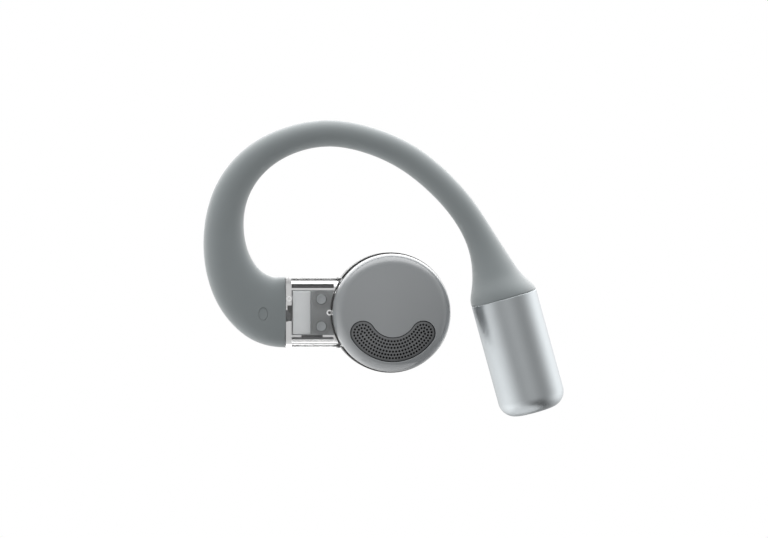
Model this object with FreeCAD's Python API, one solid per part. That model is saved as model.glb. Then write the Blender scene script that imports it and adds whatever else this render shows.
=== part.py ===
"""Open-ear hook earphone for the right ear, one STEP file per separate piece.

Frame, in millimetres: +X from the neck towards the battery barrel, +Z up as worn, +Y away from the
head. The origin is where the arch of the hook rests on the ear, at the underside of its top.
"""

import FreeCAD
import Part

import math
import os

V = FreeCAD.Vector

# --- driving dimensions -------------------------------------------------------------------------

# Pod: a round capsule whose axis is along Y.
POD_X, POD_Z = 8.4, -23.35
COVER_R = 8.2
SHELL_R = 8.45
POD_DOME_R = 30.0
COVER_CROWN_Y = -6.4
SHELL_CROWN_Y = 5.0
POD_RIM_Y = -1.7
COVER_EDGE_R = 2.0
SHELL_EDGE_R = 2.2
COVER_WALL = 0.7
SHELL_WALL = 0.8
COVER_LIP = 0.8
FIT = 0.05

# Crescent speaker opening, on the pod's axis.
OUTER_ARC_R, OUTER_ARC_Z = 6.8, -0.2
LOBE_R, LOBE_X = 1.73, 4.27
TONGUE_Z = -0.24
GRILLE_RECESS = 0.25
GRILLE_THICK = 0.25
GRILLE_LEDGE = 0.35
CLOTH_THICK = 0.12

# Neck: a clear rounded bar between the hook and the pod.
NECK_X = -6.3
NECK_HEIGHT = 9.9
NECK_Y0, NECK_Y1 = -2.2, 2.8
NECK_CORNER_R = 1.0
NECK_WALL = 0.7
NECK_END_WALL = 0.8
CARRIER_HALF = 3.15
CARRIER_Y0, CARRIER_Y1 = -1.0, 0.6
SEAL_R0, SEAL_R1 = 8.15, 8.4
WINDOW_HALF = 2.6
WINDOW_Y0, WINDOW_Y1 = -0.8, 1.6
CONTACT_X = -1.36
CONTACT_PITCH = 3.76
CONTACT_R = 0.72
BOSS_R = 1.2
PIN_R, PIN_BORE_R = 0.42, 0.2
PIN_PLACES = [(-0.15, POD_Z), (-5.86, POD_Z + 1.95)]
MAGNET_X0, MAGNET_X1, MAGNET_HALF = -5.4, -2.78, 3.0
MAGNET_Y0, MAGNET_Y1 = -1.3, -0.1
ANTENNA_Z0, ANTENNA_Z1 = 3.45, 4.15
FLEX_THICK = 0.2
FLEX_Z0, FLEX_Z1 = -1.2, 1.0

# Driver: a 14 mm dynamic driver on the pod's axis.
DRIVER_R = 6.95
DRIVER_Y0, DRIVER_Y1 = -3.5, -0.9
DIAPHRAGM_R = 5.9
COIL_R0, COIL_R1 = 3.6, 3.8
POLE_R = 3.45
YOKE_R0, YOKE_R1 = 3.98, 4.6

# Electronics in the bowl of the pod.
BOARD_Y0, BOARD_THICK, BOARD_R = 0.9, 0.6, 6.9
MIC_PLACES = [(POD_X - 4.6, POD_Z + 1.8), (POD_X + 4.6, POD_Z - 1.8)]
MIC_PORT_R = 0.4

# Ear hook: centre line x, y, z, heading in degrees, width in the hook's plane, depth along Y,
# squareness of the section (2 is an ellipse), and the width and depth of the channel inside.
HOOK_STATIONS = [
    (-6.3, 0.30, -23.3, 180, 9.9, 5.1, 3.2, 7.3, 3.0),
    (-7.9, 0.30, -23.2, 172, 9.75, 5.25, 3.0, 7.1, 3.0),
    (-9.3, 0.30, -22.8, 160, 9.35, 5.3, 2.8, 6.8, 3.0),
    (-10.6, 0.30, -22.05, 150, 8.8, 5.3, 2.6, 6.2, 3.0),
    (-12.65, 0.25, -19.95, 129, 7.7, 5.2, 2.4, 5.0, 2.8),
    (-14.0, 0.20, -17.4, 114, 6.8, 5.0, 2.2, 3.9, 2.6),
    (-14.7, 0.15, -14.65, 100, 6.15, 4.8, 2.1, 3.0, 2.3),
    (-14.9, 0.10, -11.85, 90, 5.6, 4.6, 2.0, 2.4, 2.1),
    (-14.55, 0.05, -9.05, 80, 5.2, 4.4, 2.0, 2.1, 2.0),
    (-13.75, 0.0, -6.35, 67, 4.85, 4.25, 2.0, 2.0, 1.9),
    (-12.35, 0.0, -3.95, 55, 4.55, 4.1, 2.0, 1.9, 1.8),
    (-10.4, 0.0, -1.85, 42, 4.3, 4.0, 2.0, 1.9, 1.8),
    (-8.1, 0.0, -0.2, 30, 4.05, 3.9, 2.0, 1.9, 1.8),
    (-5.5, 0.0, 0.9, 17, 3.85, 3.8, 2.0, 1.9, 1.8),
    (-2.8, 0.0, 1.55, 7, 3.75, 3.7, 2.0, 1.9, 1.8),
    (0.0, 0.0, 1.85, 0, 3.7, 3.7, 2.0, 1.9, 1.8),
    (2.8, 0.0, 1.6, -8, 3.7, 3.7, 2.0, 1.9, 1.8),
    (5.5, -0.1, 0.9, -17, 3.7, 3.7, 2.0, 1.9, 1.8),
    (8.2, -0.2, -0.05, -24, 3.75, 3.7, 2.0, 1.9, 1.8),
    (10.7, -0.4, -1.4, -31, 3.8, 3.75, 2.0, 1.9, 1.8),
    (13.0, -0.7, -3.0, -37, 3.8, 3.75, 2.0, 1.9, 1.8),
    (15.1, -1.0, -4.85, -44, 3.8, 3.8, 2.0, 1.9, 1.8),
    (17.05, -1.3, -6.9, -50, 3.8, 3.8, 2.0, 1.9, 1.8),
    (18.8, -1.65, -9.1, -55, 3.8, 3.8, 2.0, 1.9, 1.8),
    (20.25, -1.95, -11.45, -60, 4.0, 4.0, 2.0, 2.0, 2.0),
    (21.4, -2.2, -13.7, -66, 4.4, 4.4, 2.0, 2.2, 2.2),
    (22.25, -2.35, -15.7, -71, 5.15, 5.15, 2.0, 2.8, 2.8),
    (22.85, -2.4, -17.35, -74, 6.15, 6.15, 2.0, 3.6, 3.6),
    (23.25, -2.4, -18.6, -74.5, 7.05, 7.1, 2.0, 4.5, 4.5),
    (23.65, -2.4, -19.7, -74.5, 8.2, 8.3, 2.0, 5.6, 5.6),
    (24.1, -2.4, -20.7, -74.5, 9.2, 9.2, 2.0, 6.6, 6.6),
    (24.35, -2.4, -21.3, -74.5, 9.4, 9.4, 2.0, 6.8, 6.8),
]
SECTION_POINTS = 24
OPEN_STATION = 11
SWAY_STATION = 17
ROOT_CORE_STATION = 4
WIRE_R = 0.35
LEAD_R = 0.2
WIRE_OFFSET, LEAD_OFFSET = 0.42, -0.4
JOINT_GAP = 0.3

# Key on the root of the hook.
KEY_X, KEY_Z = -9.5, -23.5
KEY_HALF_X, KEY_HALF_Z = 0.65, 0.9
KEY_FACE_Y = -2.3
KEY_STEM_Y = -1.12
KEY_CLEARANCE = 0.06

# Battery barrel: a closed cylinder whose axis leans out below the hook.
BARREL_TOP = V(24.35, -2.4, -21.3)
BARREL_HEADING = -74.5
BARREL_R = 4.7
BARREL_LENGTH = 16.55
BARREL_WALL = 0.45
BARREL_EDGE_R = 2.3
PLUG_DEPTH = 2.6
CELL_R = 3.9
CELL_START, CELL_LENGTH = 3.9, 10.8

Y_AXIS = V(0, 1, 0)
POD_CENTRE = V(POD_X, 0, POD_Z)


# --- small helpers ------------------------------------------------------------------------------


def disc(radius, y0, y1, x=POD_X, z=POD_Z):
    """A cylinder along Y between two depths."""
    return Part.makeCylinder(radius, y1 - y0, V(x, y0, z), Y_AXIS)


def ring(inner, outer, y0, y1, x=POD_X, z=POD_Z):
    """A flat ring along Y between two depths."""
    return disc(outer, y0, y1, x, z).cut(disc(inner, y0 - 1, y1 + 1, x, z))


def block(x0, x1, y0, y1, z0, z1):
    """A box between two corners."""
    return Part.makeBox(x1 - x0, y1 - y0, z1 - z0, V(x0, y0, z0))


def domed_puck(radius, open_y, crown_y, edge_r):
    """A round slab, flat at open_y and gently domed at crown_y, with a rounded domed edge."""
    side = 1 if crown_y > open_y else -1
    centre = V(POD_X, crown_y - side * POD_DOME_R, POD_Z)
    low, high = sorted((open_y, crown_y))
    puck = disc(radius, low - 1, high + 1).common(Part.makeSphere(POD_DOME_R, centre))
    edge_y = centre.y + side * math.sqrt(POD_DOME_R**2 - radius**2)
    rims = [
        e
        for e in puck.Edges
        if abs(e.BoundBox.YMin - edge_y) < 0.01 and abs(e.BoundBox.YMax - edge_y) < 0.01
    ]
    puck = puck.makeFillet(edge_r, rims)
    keep = disc(radius + 5, open_y, crown_y + 5) if side > 0 else disc(radius + 5, crown_y - 5, open_y)
    return puck.common(keep)


def cover_puck(depth):
    """The space inside the front cover's outer skin, at a depth under it."""
    return domed_puck(COVER_R - depth, POD_RIM_Y, COVER_CROWN_Y + depth, COVER_EDGE_R - depth)


def shell_puck(depth):
    """The space inside the bowl's outer skin, at a depth under it."""
    return domed_puck(SHELL_R - depth, POD_RIM_Y, SHELL_CROWN_Y - depth, SHELL_EDGE_R - depth)


def crescent(inset):
    """A prism along Y on the crescent outline: four tangent arcs, moved inwards by inset."""
    outer_z = POD_Z + OUTER_ARC_Z
    tongue_z = POD_Z + TONGUE_Z
    lobe_z = outer_z - math.sqrt((OUTER_ARC_R - LOBE_R) ** 2 - LOBE_X**2)
    tongue_r = math.hypot(LOBE_X, lobe_z - tongue_z) - LOBE_R
    outer_r, lobe_r, inner_r = OUTER_ARC_R - inset, LOBE_R - inset, tongue_r + inset

    def lobe_point(side, direction):
        unit = direction.normalize()
        return V(POD_X + side * LOBE_X + unit.x * lobe_r, 0, lobe_z + unit.z * lobe_r)

    outer_end = {s: lobe_point(s, V(s * LOBE_X, 0, lobe_z - outer_z)) for s in (-1, 1)}
    inner_end = {s: lobe_point(s, V(-s * LOBE_X, 0, tongue_z - lobe_z)) for s in (-1, 1)}
    lobe_top = {s: lobe_point(s, V(s * 0.3, 0, 1)) for s in (-1, 1)}
    arcs = [
        Part.Arc(outer_end[-1], V(POD_X, 0, outer_z - outer_r), outer_end[1]),
        Part.Arc(outer_end[1], lobe_top[1], inner_end[1]),
        Part.Arc(inner_end[1], V(POD_X, 0, tongue_z - inner_r), inner_end[-1]),
        Part.Arc(inner_end[-1], lobe_top[-1], outer_end[-1]),
    ]
    face = Part.Face(Part.Wire([a.toShape() for a in arcs]))
    face.translate(V(0, COVER_CROWN_Y - 1, 0))
    return face.extrude(V(0, 6, 0))


def rounded_bar(x0, x1, y0, y1, half_height, radius):
    """A bar along X with rounded long edges, centred on the pod's height."""
    bar = block(x0, x1, y0, y1, POD_Z - half_height, POD_Z + half_height)
    long_edges = [e for e in bar.Edges if e.BoundBox.XLength > (x1 - x0) * 0.9]
    return bar.makeFillet(radius, long_edges)


def heading(degrees):
    """The unit vector in the hook's plane at an angle above +X."""
    return V(math.cos(math.radians(degrees)), 0, math.sin(math.radians(degrees)))


def hook_section(station, width, depth, power, offset=0.0):
    """A closed smooth outline across the hook at a station."""
    x, y, z, angle = station[:4]
    across = heading(angle + 90)
    points = []
    for i in range(SECTION_POINTS):
        turn = 2 * math.pi * i / SECTION_POINTS
        c, s = math.cos(turn), math.sin(turn)
        a = math.copysign(abs(c) ** (2 / power), c) * width / 2
        b = math.copysign(abs(s) ** (2 / power), s) * depth / 2
        points.append(V(x, y + offset, z) + across * a + Y_AXIS * b)
    curve = Part.BSplineCurve()
    curve.interpolate(Points=points, PeriodicFlag=True)
    return Part.Wire([curve.toShape()])


def hook_loft(stations, size_of):
    """A solid through the hook's sections, with size_of giving width, depth and power."""
    return Part.makeLoft([hook_section(s, *size_of(s)) for s in stations], True, False)


def hook_rod(stations, radius, offset, across=0.0):
    """A round rod along the hook, offset from its centre line along Y and across it."""
    wires = []
    for x, y, z, angle, *_ in stations:
        centre = V(x, y + offset, z) + heading(angle + 90) * across
        wires.append(Part.Wire([Part.Circle(centre, heading(angle), radius).toShape()]))
    return Part.makeLoft(wires, True, False)


def half_space(station, shift, ahead):
    """A large block on one side of the plane across the hook at a station."""
    x, y, z, angle = station[:4]
    size = 120
    slab = Part.makeBox(size, size, size, V(0 if ahead else -size, -size / 2, -size / 2))
    slab.rotate(V(0, 0, 0), V(0, -1, 0), angle)
    return slab.translated(V(x, y, z) + heading(angle) * shift)


def along_barrel(distance):
    """A point on the barrel's axis, from its open top."""
    return BARREL_TOP + heading(BARREL_HEADING) * distance


def barrel_disc(radius, start, length):
    """A cylinder on the barrel's axis."""
    return Part.makeCylinder(radius, length, along_barrel(start), heading(BARREL_HEADING))


# --- pod ----------------------------------------------------------------------------------------


def window(inset):
    """The opening between the neck and the bowl, drawn in by inset."""
    z0, z1 = POD_Z - WINDOW_HALF + inset, POD_Z + WINDOW_HALF - inset
    return block(POD_X - SHELL_R - 0.3, POD_X - 5, WINDOW_Y0 + inset, WINDOW_Y1 - inset, z0, z1)


def make_clear_shell():
    """The clear bowl and neck, one moulding, with the contact holes and the end wall's slots."""
    half = NECK_HEIGHT / 2
    neck = rounded_bar(NECK_X, POD_X, NECK_Y0, NECK_Y1, half, NECK_CORNER_R)
    neck = neck.cut(disc(COVER_R + FIT, NECK_Y0 - 1, POD_RIM_Y))
    body = shell_puck(0).fuse(neck)
    start, end = NECK_X + NECK_END_WALL, POD_X - SHELL_R + 1.2
    cavity = rounded_bar(start, end, NECK_Y0 + 0.8, NECK_Y1 - 0.8, half - NECK_WALL, 0.6)
    cavity = cavity.cut(shell_puck(0)).fuse(window(0))
    body = body.cut(cavity).cut(shell_puck(SHELL_WALL))
    for side in (-1, 1):
        z = POD_Z + side * CONTACT_PITCH / 2
        body = body.fuse(disc(BOSS_R, NECK_Y0 + 0.5, NECK_Y0 + 1.3, CONTACT_X, z))
        body = body.cut(disc(CONTACT_R + FIT, NECK_Y0 - 1, NECK_Y0 + 2, CONTACT_X, z))
    for x, z in PIN_PLACES[1:]:
        body = body.cut(disc(PIN_R + FIT / 2, NECK_Y0 + 0.6, CARRIER_Y1, x, z))
    body = body.cut(root_tongue(FIT)).cut(flex_slot())
    for x, z in MIC_PLACES:
        body = body.cut(disc(MIC_PORT_R, 2, SHELL_CROWN_Y + 1, x, z))
    return body.removeSplitter()


def make_front_cover():
    """The glossy domed cover with the stepped crescent opening and a spigot into the bowl."""
    spigot = ring(COVER_R - 1.15, COVER_R - 0.6, POD_RIM_Y - 0.5, POD_RIM_Y + COVER_LIP)
    cover = cover_puck(0).cut(cover_puck(COVER_WALL))
    seat = crescent(0).cut(cover_puck(GRILLE_RECESS + GRILLE_THICK))
    return cover.fuse(spigot).cut(seat).cut(crescent(GRILLE_LEDGE)).removeSplitter()


def make_speaker_grille():
    """The domed crescent plate that sits on the ledge of the opening."""
    skin = cover_puck(GRILLE_RECESS).cut(cover_puck(GRILLE_RECESS + GRILLE_THICK))
    return crescent(FIT).common(skin)


def make_grille_cloth():
    """The dust cloth behind the grille plate, inside the ledge."""
    depth = GRILLE_RECESS + GRILLE_THICK
    return crescent(GRILLE_LEDGE + FIT).common(cover_puck(depth).cut(cover_puck(depth + CLOTH_THICK)))


def make_front_gasket():
    """The foam ring between the cover's shoulder and the driver's flange."""
    return ring(6.7, 7.0, DRIVER_Y0 - 0.6, DRIVER_Y0)


def make_driver_basket():
    """The driver's frame: flange, wall and vented base plate."""
    basket = disc(DRIVER_R, DRIVER_Y0, DRIVER_Y1)
    basket = basket.cut(disc(DRIVER_R - 0.35, DRIVER_Y0 + 0.3, DRIVER_Y1 - 0.3))
    basket = basket.cut(disc(DRIVER_R - 0.6, DRIVER_Y0 - 1, DRIVER_Y0 + 1))
    basket = basket.cut(disc(YOKE_R1, DRIVER_Y1 - 1, DRIVER_Y1 + 1))
    for i in range(8):
        turn = math.radians(45 * i + 22.5)
        x, z = POD_X + 5.7 * math.cos(turn), POD_Z + 5.7 * math.sin(turn)
        basket = basket.cut(disc(0.55, DRIVER_Y1 - 1, DRIVER_Y1 + 1, x, z))
    return basket


def make_driver_yoke():
    """The steel cup round the magnet."""
    cup = disc(YOKE_R1, -2.3, -0.45)
    return cup.cut(disc(YOKE_R0, -3, -0.95)).cut(disc(0.6, -2, 0))


def make_driver_magnet():
    """The ring-shaped magnet on the base of the yoke."""
    return ring(0.6, 3.2, -1.9, -0.95)


def make_driver_pole_plate():
    """The steel washer on the magnet."""
    return ring(0.6, POLE_R, -2.3, -1.9)


def make_driver_diaphragm():
    """The thin diaphragm: a centre dome and a shallow cone round it."""
    outline = [
        V(0, -4.0, 0), V(1.9, -3.85, 0), V(COIL_R0, -3.2, 0), V(4.9, -3.5, 0), V(DIAPHRAGM_R, -3.3, 0)
    ]
    back = [V(p.x, p.y + 0.12, 0) for p in reversed(outline)]
    wire = Part.makePolygon(outline + back + [outline[0]])
    solid = Part.Face(wire).revolve(V(0, 0, 0), Y_AXIS, 360)
    return solid.translated(POD_CENTRE)


def make_driver_surround():
    """The half-round roll between the diaphragm and the basket."""
    outer, inner = DRIVER_R - 0.6 - 0.02, DIAPHRAGM_R + 0.02
    mid, roll = (outer + inner) / 2, (outer - inner) / 2
    y = -3.25
    arcs = [
        Part.Arc(V(inner, y, 0), V(mid, y - roll, 0), V(outer, y, 0)).toShape(),
        Part.LineSegment(V(outer, y, 0), V(outer - 0.08, y, 0)).toShape(),
        Part.Arc(V(outer - 0.08, y, 0), V(mid, y - roll + 0.08, 0), V(inner + 0.08, y, 0)).toShape(),
        Part.LineSegment(V(inner + 0.08, y, 0), V(inner, y, 0)).toShape(),
    ]
    solid = Part.Face(Part.Wire(arcs)).revolve(V(0, 0, 0), Y_AXIS, 360)
    return solid.translated(POD_CENTRE)


def make_voice_coil():
    """The copper coil that hangs from the diaphragm into the yoke's gap."""
    return ring(COIL_R0, COIL_R1, -3.02, -1.5)


def make_driver_vent_cloth():
    """The damping cloth over the basket's vents."""
    return ring(YOKE_R1 + 0.35, DRIVER_R - 0.45, DRIVER_Y1, DRIVER_Y1 + 0.1)


def make_inner_frame():
    """The plastic frame in the bowl that carries the main board."""
    bowl_r = SHELL_R - SHELL_WALL - 0.1
    frame = ring(bowl_r - 0.5, bowl_r, -0.8, 1.8).fuse(ring(6.3, bowl_r - 0.4, 0.5, BOARD_Y0))
    return frame.cut(block(0, POD_X - 5, -0.7, 1.5, POD_Z - 2.5, POD_Z + 2.5))


def make_main_board():
    """The round main circuit board."""
    board = disc(BOARD_R, BOARD_Y0, BOARD_Y0 + BOARD_THICK)
    return board.cut(disc(0.9, 0, 2, POD_X + 5.3, POD_Z + 2.6))


def make_radio_chip():
    """The radio and audio chip on the main board."""
    top = BOARD_Y0 + BOARD_THICK
    return block(POD_X - 1.9, POD_X + 1.9, top, top + 0.7, POD_Z + 1.0, POD_Z + 4.8)


def make_shield_can():
    """The folded steel can over the power parts."""
    top = BOARD_Y0 + BOARD_THICK
    can = block(POD_X - 2.6, POD_X + 2.6, top, top + 1.0, POD_Z - 5.0, POD_Z - 1.2)
    inside = block(POD_X - 2.45, POD_X + 2.45, top - 1, top + 0.85, POD_Z - 4.85, POD_Z - 1.35)
    return can.cut(inside)


def make_microphone(place):
    """A small can microphone under its port."""
    x, z = place
    top = BOARD_Y0 + BOARD_THICK
    return block(x - 1.0, x + 1.0, top, top + 0.9, z - 0.8, z + 0.8)


def make_microphone_cloths():
    """The two dust cloths over the microphones."""
    y = BOARD_Y0 + BOARD_THICK + 0.9
    return Part.makeCompound([disc(0.6, y, y + 0.12, x, z) for x, z in MIC_PLACES])


def make_deco_disc():
    """The thin satin cap that lines the rear of the clear bowl."""
    cap = shell_puck(SHELL_WALL + 0.05).cut(shell_puck(SHELL_WALL + 0.3))
    cap = cap.common(disc(SHELL_R, 2.2, SHELL_CROWN_Y))
    for x, z in MIC_PLACES:
        cap = cap.cut(disc(MIC_PORT_R, 2, SHELL_CROWN_Y + 1, x, z))
    return cap


def make_touch_pad():
    """The touch sensor on the inside of the deco cap."""
    return disc(3.6, 3.35, 3.55)


# --- neck ---------------------------------------------------------------------------------------


def make_neck_carrier():
    """The grey plate that holds the magnet and the contacts."""
    top, bottom = POD_Z + CARRIER_HALF, POD_Z - CARRIER_HALF
    plate = block(NECK_X + NECK_END_WALL + 0.05, POD_X - 5, CARRIER_Y0, CARRIER_Y1, bottom, top)
    plate = plate.cut(disc(SEAL_R1 + FIT / 2, -5, 5))
    plate = plate.cut(disc(SHELL_R + FIT, -5, 5).cut(window(FIT / 2)))
    magnet = make_retention_magnet()
    plate = plate.cut(magnet)
    for side in (-1, 1):
        z = POD_Z + side * CONTACT_PITCH / 2
        plate = plate.cut(disc(BOSS_R + FIT, -2, NECK_Y0 + 1.35, CONTACT_X, z))
        plate = plate.cut(disc(0.45, -2, 0.0, CONTACT_X, z))
    x, z = PIN_PLACES[0]
    return plate.cut(disc(PIN_R, -2, 0.2, x, z))


def make_retention_magnet():
    """The plated magnet that holds the earphone in its charging case."""
    z0, z1 = POD_Z - MAGNET_HALF, POD_Z + MAGNET_HALF
    bar = block(MAGNET_X0, MAGNET_X1, MAGNET_Y0, MAGNET_Y1, z0, z1)
    return bar.makeChamfer(0.12, [e for e in bar.Edges if e.BoundBox.YMax < MAGNET_Y0 + 0.01])


def make_contact(side):
    """A charging contact: a round pad flush with the neck's face on a thin stem."""
    z = POD_Z + side * CONTACT_PITCH / 2
    pad = disc(CONTACT_R, NECK_Y0 + 0.05, NECK_Y0 + 0.85, CONTACT_X, z)
    pad = pad.makeFillet(0.1, [e for e in pad.Edges if e.BoundBox.YMax < NECK_Y0 + 0.1])
    return pad.fuse(disc(0.45, NECK_Y0 + 0.8, -0.05, CONTACT_X, z)).removeSplitter()


def make_contact_seals():
    """The two sealing rings behind the contact pads."""
    rings = []
    for side in (-1, 1):
        z = POD_Z + side * CONTACT_PITCH / 2
        rings.append(ring(0.47, CONTACT_R, NECK_Y0 + 0.87, NECK_Y0 + 1.15, CONTACT_X, z))
    return Part.makeCompound(rings)


def make_locating_pins():
    """The two hollow pins that line up the carrier and the root core."""
    (x0, z0), (x1, z1) = PIN_PLACES
    front = ring(PIN_BORE_R, PIN_R, WINDOW_Y0 + FIT, 0.2, x0, z0)
    rear = ring(PIN_BORE_R, PIN_R, NECK_Y0 + 0.65, 0.4, x1, z1)
    return Part.makeCompound([front, rear])


def make_pod_seal():
    """The black curved seal in the opening between the neck and the bowl."""
    arc = ring(SEAL_R0, SEAL_R1, WINDOW_Y0, WINDOW_Y1).common(window(FIT / 2))
    x, z = PIN_PLACES[0]
    return arc.cut(disc(PIN_R + 0.02, -5, 0.22, x, z)).cut(flex_band(FIT / 2, -2, 3))


def make_neck_antenna():
    """The black antenna strip along the top of the carrier."""
    return block(NECK_X + 0.85, 0.45, -1.0, 1.4, POD_Z + ANTENNA_Z0, POD_Z + ANTENNA_Z1)


def flex_band(grow, x0, x1):
    """The flexible circuit's straight run along X, grown on its other sides."""
    y0 = CARRIER_Y1 + 0.1
    z0, z1 = POD_Z + FLEX_Z0 - grow, POD_Z + FLEX_Z1 + grow
    return block(x0, x1, y0 - grow, y0 + FLEX_THICK + grow, z0, z1)


def make_neck_flex():
    """The flexible circuit behind and below the carrier, from the root core into the bowl."""
    y0, y1 = CARRIER_Y1 + 0.1, CARRIER_Y1 + 0.1 + FLEX_THICK
    shelf = block(NECK_X + 0.9, 0.4, CARRIER_Y0, y1, POD_Z - 3.75, POD_Z - 3.45)
    riser = block(-4.0, -1.0, y0, y1, POD_Z - 3.75, POD_Z + FLEX_Z0)
    return flex_band(0, NECK_X + 0.3, 1.6).fuse(shelf).fuse(riser).removeSplitter()


def flex_slot():
    """The slot in the neck's end wall that the flexible circuit passes through."""
    return flex_band(FIT, NECK_X - 1, NECK_X + 1)


# --- ear hook -----------------------------------------------------------------------------------


def hook_outer():
    """The whole silicone outline of the hook."""
    return hook_loft(HOOK_STATIONS, lambda s: (s[4], s[5], s[6]))


def hook_channel():
    """The whole channel inside the silicone."""
    return hook_loft(HOOK_STATIONS, lambda s: (s[7], s[8], min(s[6], 2.4)))


def root_tongue(extra):
    """The round-ended tongue of the root core in the neck's end wall."""
    z = POD_Z - 0.45
    end = disc(0.85 + extra, -1.2 - extra, 0.5 + extra, NECK_X - 0.15, z)
    return end.common(block(NECK_X - extra, NECK_X + 2, -3, 3, z - 2, z + 2))


def key_oval(grow, y0, y1):
    """An upright oval prism along Y at the key."""
    oval = Part.Ellipse(V(0, 0, 0), KEY_HALF_Z + grow, KEY_HALF_X + grow).toShape()
    solid = Part.Face(Part.Wire([oval])).extrude(V(0, 0, y1 - y0))
    placement = FreeCAD.Placement(
        V(KEY_X, y0, KEY_Z), FreeCAD.Rotation(V(0, 0, 1), V(1, 0, 0), V(0, 1, 0), "ZXY")
    )
    solid.Placement = placement
    return solid


def make_hook_skins():
    """The silicone as three solids: front to the opening joint, arch, and rear to the barrel."""
    whole = hook_outer().cut(hook_channel())
    opening, sway = HOOK_STATIONS[OPEN_STATION], HOOK_STATIONS[SWAY_STATION]
    knuckle_r = opening[4] / 2
    x, _, z = opening[:3]
    knuckle = disc(knuckle_r, -10, 10, x, z)
    socket = disc(knuckle_r + JOINT_GAP, -10, 10, x, z)
    front = whole.common(half_space(opening, 0, False)).cut(socket)
    front = front.cut(key_oval(KEY_CLEARANCE, -6, 0.0))
    middle = half_space(opening, 0, True).fuse(knuckle)
    arch = whole.common(middle).common(half_space(sway, -JOINT_GAP / 2, False))
    rear = whole.common(half_space(sway, JOINT_GAP / 2, True))
    return front, arch, rear


def make_key_cap():
    """The oval silicone key with a stem over the switch."""
    face = key_oval(0, KEY_FACE_Y, -1.45)
    face = face.makeFillet(0.12, [e for e in face.Edges if e.BoundBox.YMax < KEY_FACE_Y + 0.01])
    return face.fuse(disc(0.45, -1.5, KEY_STEM_Y, KEY_X, KEY_Z)).removeSplitter()


def make_key_switch():
    """The square key switch with its round dome."""
    body = block(KEY_X - 1.2, KEY_X + 1.2, -0.75, -0.2, KEY_Z - 1.2, KEY_Z + 1.2)
    return body.fuse(disc(0.8, -0.85, -0.7, KEY_X, KEY_Z)).removeSplitter()


def make_key_board():
    """The small circuit board under the key switch."""
    return block(KEY_X - 1.7, KEY_X + 2.0, -0.2, 0.05, KEY_Z - 1.6, KEY_Z + 1.8)


def make_root_core(wire):
    """The stiff core in the root of the silicone, with its tongue into the neck."""
    inside = hook_loft(HOOK_STATIONS, lambda s: (s[7] - 0.1, s[8] - 0.1, min(s[6], 2.4)))
    core = inside.common(half_space(HOOK_STATIONS[ROOT_CORE_STATION], 0, False))
    core = core.common(block(-30, NECK_X, -10, 10, -40, 0)).fuse(root_tongue(0))
    core = core.cut(block(KEY_X - 1.3, KEY_X + 1.3, -3, -0.2, KEY_Z - 1.3, KEY_Z + 1.3))
    core = core.cut(block(KEY_X - 1.75, KEY_X + 2.05, -0.21, 0.06, KEY_Z - 1.65, KEY_Z + 1.85))
    return core.cut(flex_band(0.03, NECK_X - 3, NECK_X + 1)).cut(wire).removeSplitter()


def make_tail_core():
    """The stiff core in the flare of the silicone, with the plug that closes the barrel."""
    inside = hook_loft(HOOK_STATIONS, lambda s: (s[7] - 0.1, s[8] - 0.1, 2.0))
    core = inside.common(half_space(HOOK_STATIONS[-5], 0, True)).common(block(10, 40, -10, 10, -50, 0))
    plug = barrel_disc(BARREL_R - BARREL_WALL - FIT, 0, PLUG_DEPTH)
    groove = barrel_disc(BARREL_R, 1.1, 0.7).cut(barrel_disc(BARREL_R - BARREL_WALL - 0.5, 1.0, 1.0))
    return core.fuse(plug).cut(groove).cut(barrel_disc(1.25, -6, 12)).removeSplitter()


# --- battery barrel -----------------------------------------------------------------------------


def end_rim(cylinder, distance):
    """The round edge of a cylinder at a distance along the barrel's axis."""
    end = along_barrel(distance)
    round_edges = [e for e in cylinder.Edges if len(e.Vertexes) == 1]
    return [e for e in round_edges if e.BoundBox.Center.distanceToPoint(end) < 0.5]


def make_barrel_shell():
    """The drawn aluminium can with a rounded closed end."""
    can = barrel_disc(BARREL_R, 0, BARREL_LENGTH)
    can = can.makeFillet(BARREL_EDGE_R, end_rim(can, BARREL_LENGTH))
    floor = BARREL_LENGTH - BARREL_WALL
    hollow = barrel_disc(BARREL_R - BARREL_WALL, -1, floor + 1)
    return can.cut(hollow.makeFillet(BARREL_EDGE_R - BARREL_WALL, end_rim(hollow, floor)))


def make_barrel_seal():
    """The sealing ring in the plug's groove."""
    outer, inner = BARREL_R - BARREL_WALL - 0.02, BARREL_R - BARREL_WALL - 0.48
    return barrel_disc(outer, 1.15, 0.6).cut(barrel_disc(inner, 1, 1))


def make_battery_cell():
    """The round lithium cell, with a turned-in edge at each end."""
    cell = barrel_disc(CELL_R, CELL_START, CELL_LENGTH)
    return cell.makeFillet(0.3, [e for e in cell.Edges if len(e.Vertexes) == 1])


def make_battery_sleeve():
    """The insulating sleeve round the cell."""
    tube = barrel_disc(CELL_R + 0.17, CELL_START + 0.5, CELL_LENGTH - 1)
    return tube.cut(barrel_disc(CELL_R + 0.01, 0, 20))


def make_cell_pad():
    """The foam pad between the cell and the end of the barrel."""
    start = CELL_START + CELL_LENGTH + 0.02
    return barrel_disc(2.2, start, BARREL_LENGTH - BARREL_WALL - 0.02 - start)


def make_protection_board():
    """The cell's protection circuit under the plug."""
    return barrel_disc(3.7, PLUG_DEPTH + 0.2, 0.5).cut(barrel_disc(0.6, 0, 10))


def make_cell_tabs():
    """The two nickel tabs between the cell and its board."""
    start = PLUG_DEPTH + 0.72
    tabs = []
    for side in (-1, 1):
        base = along_barrel(start) + heading(BARREL_HEADING + 90) * (1.8 * side)
        tab = Part.makeCylinder(0.5, CELL_START - start - 0.02, base, heading(BARREL_HEADING))
        tabs.append(tab)
    return Part.makeCompound(tabs)


# --- all pieces ---------------------------------------------------------------------------------


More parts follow.
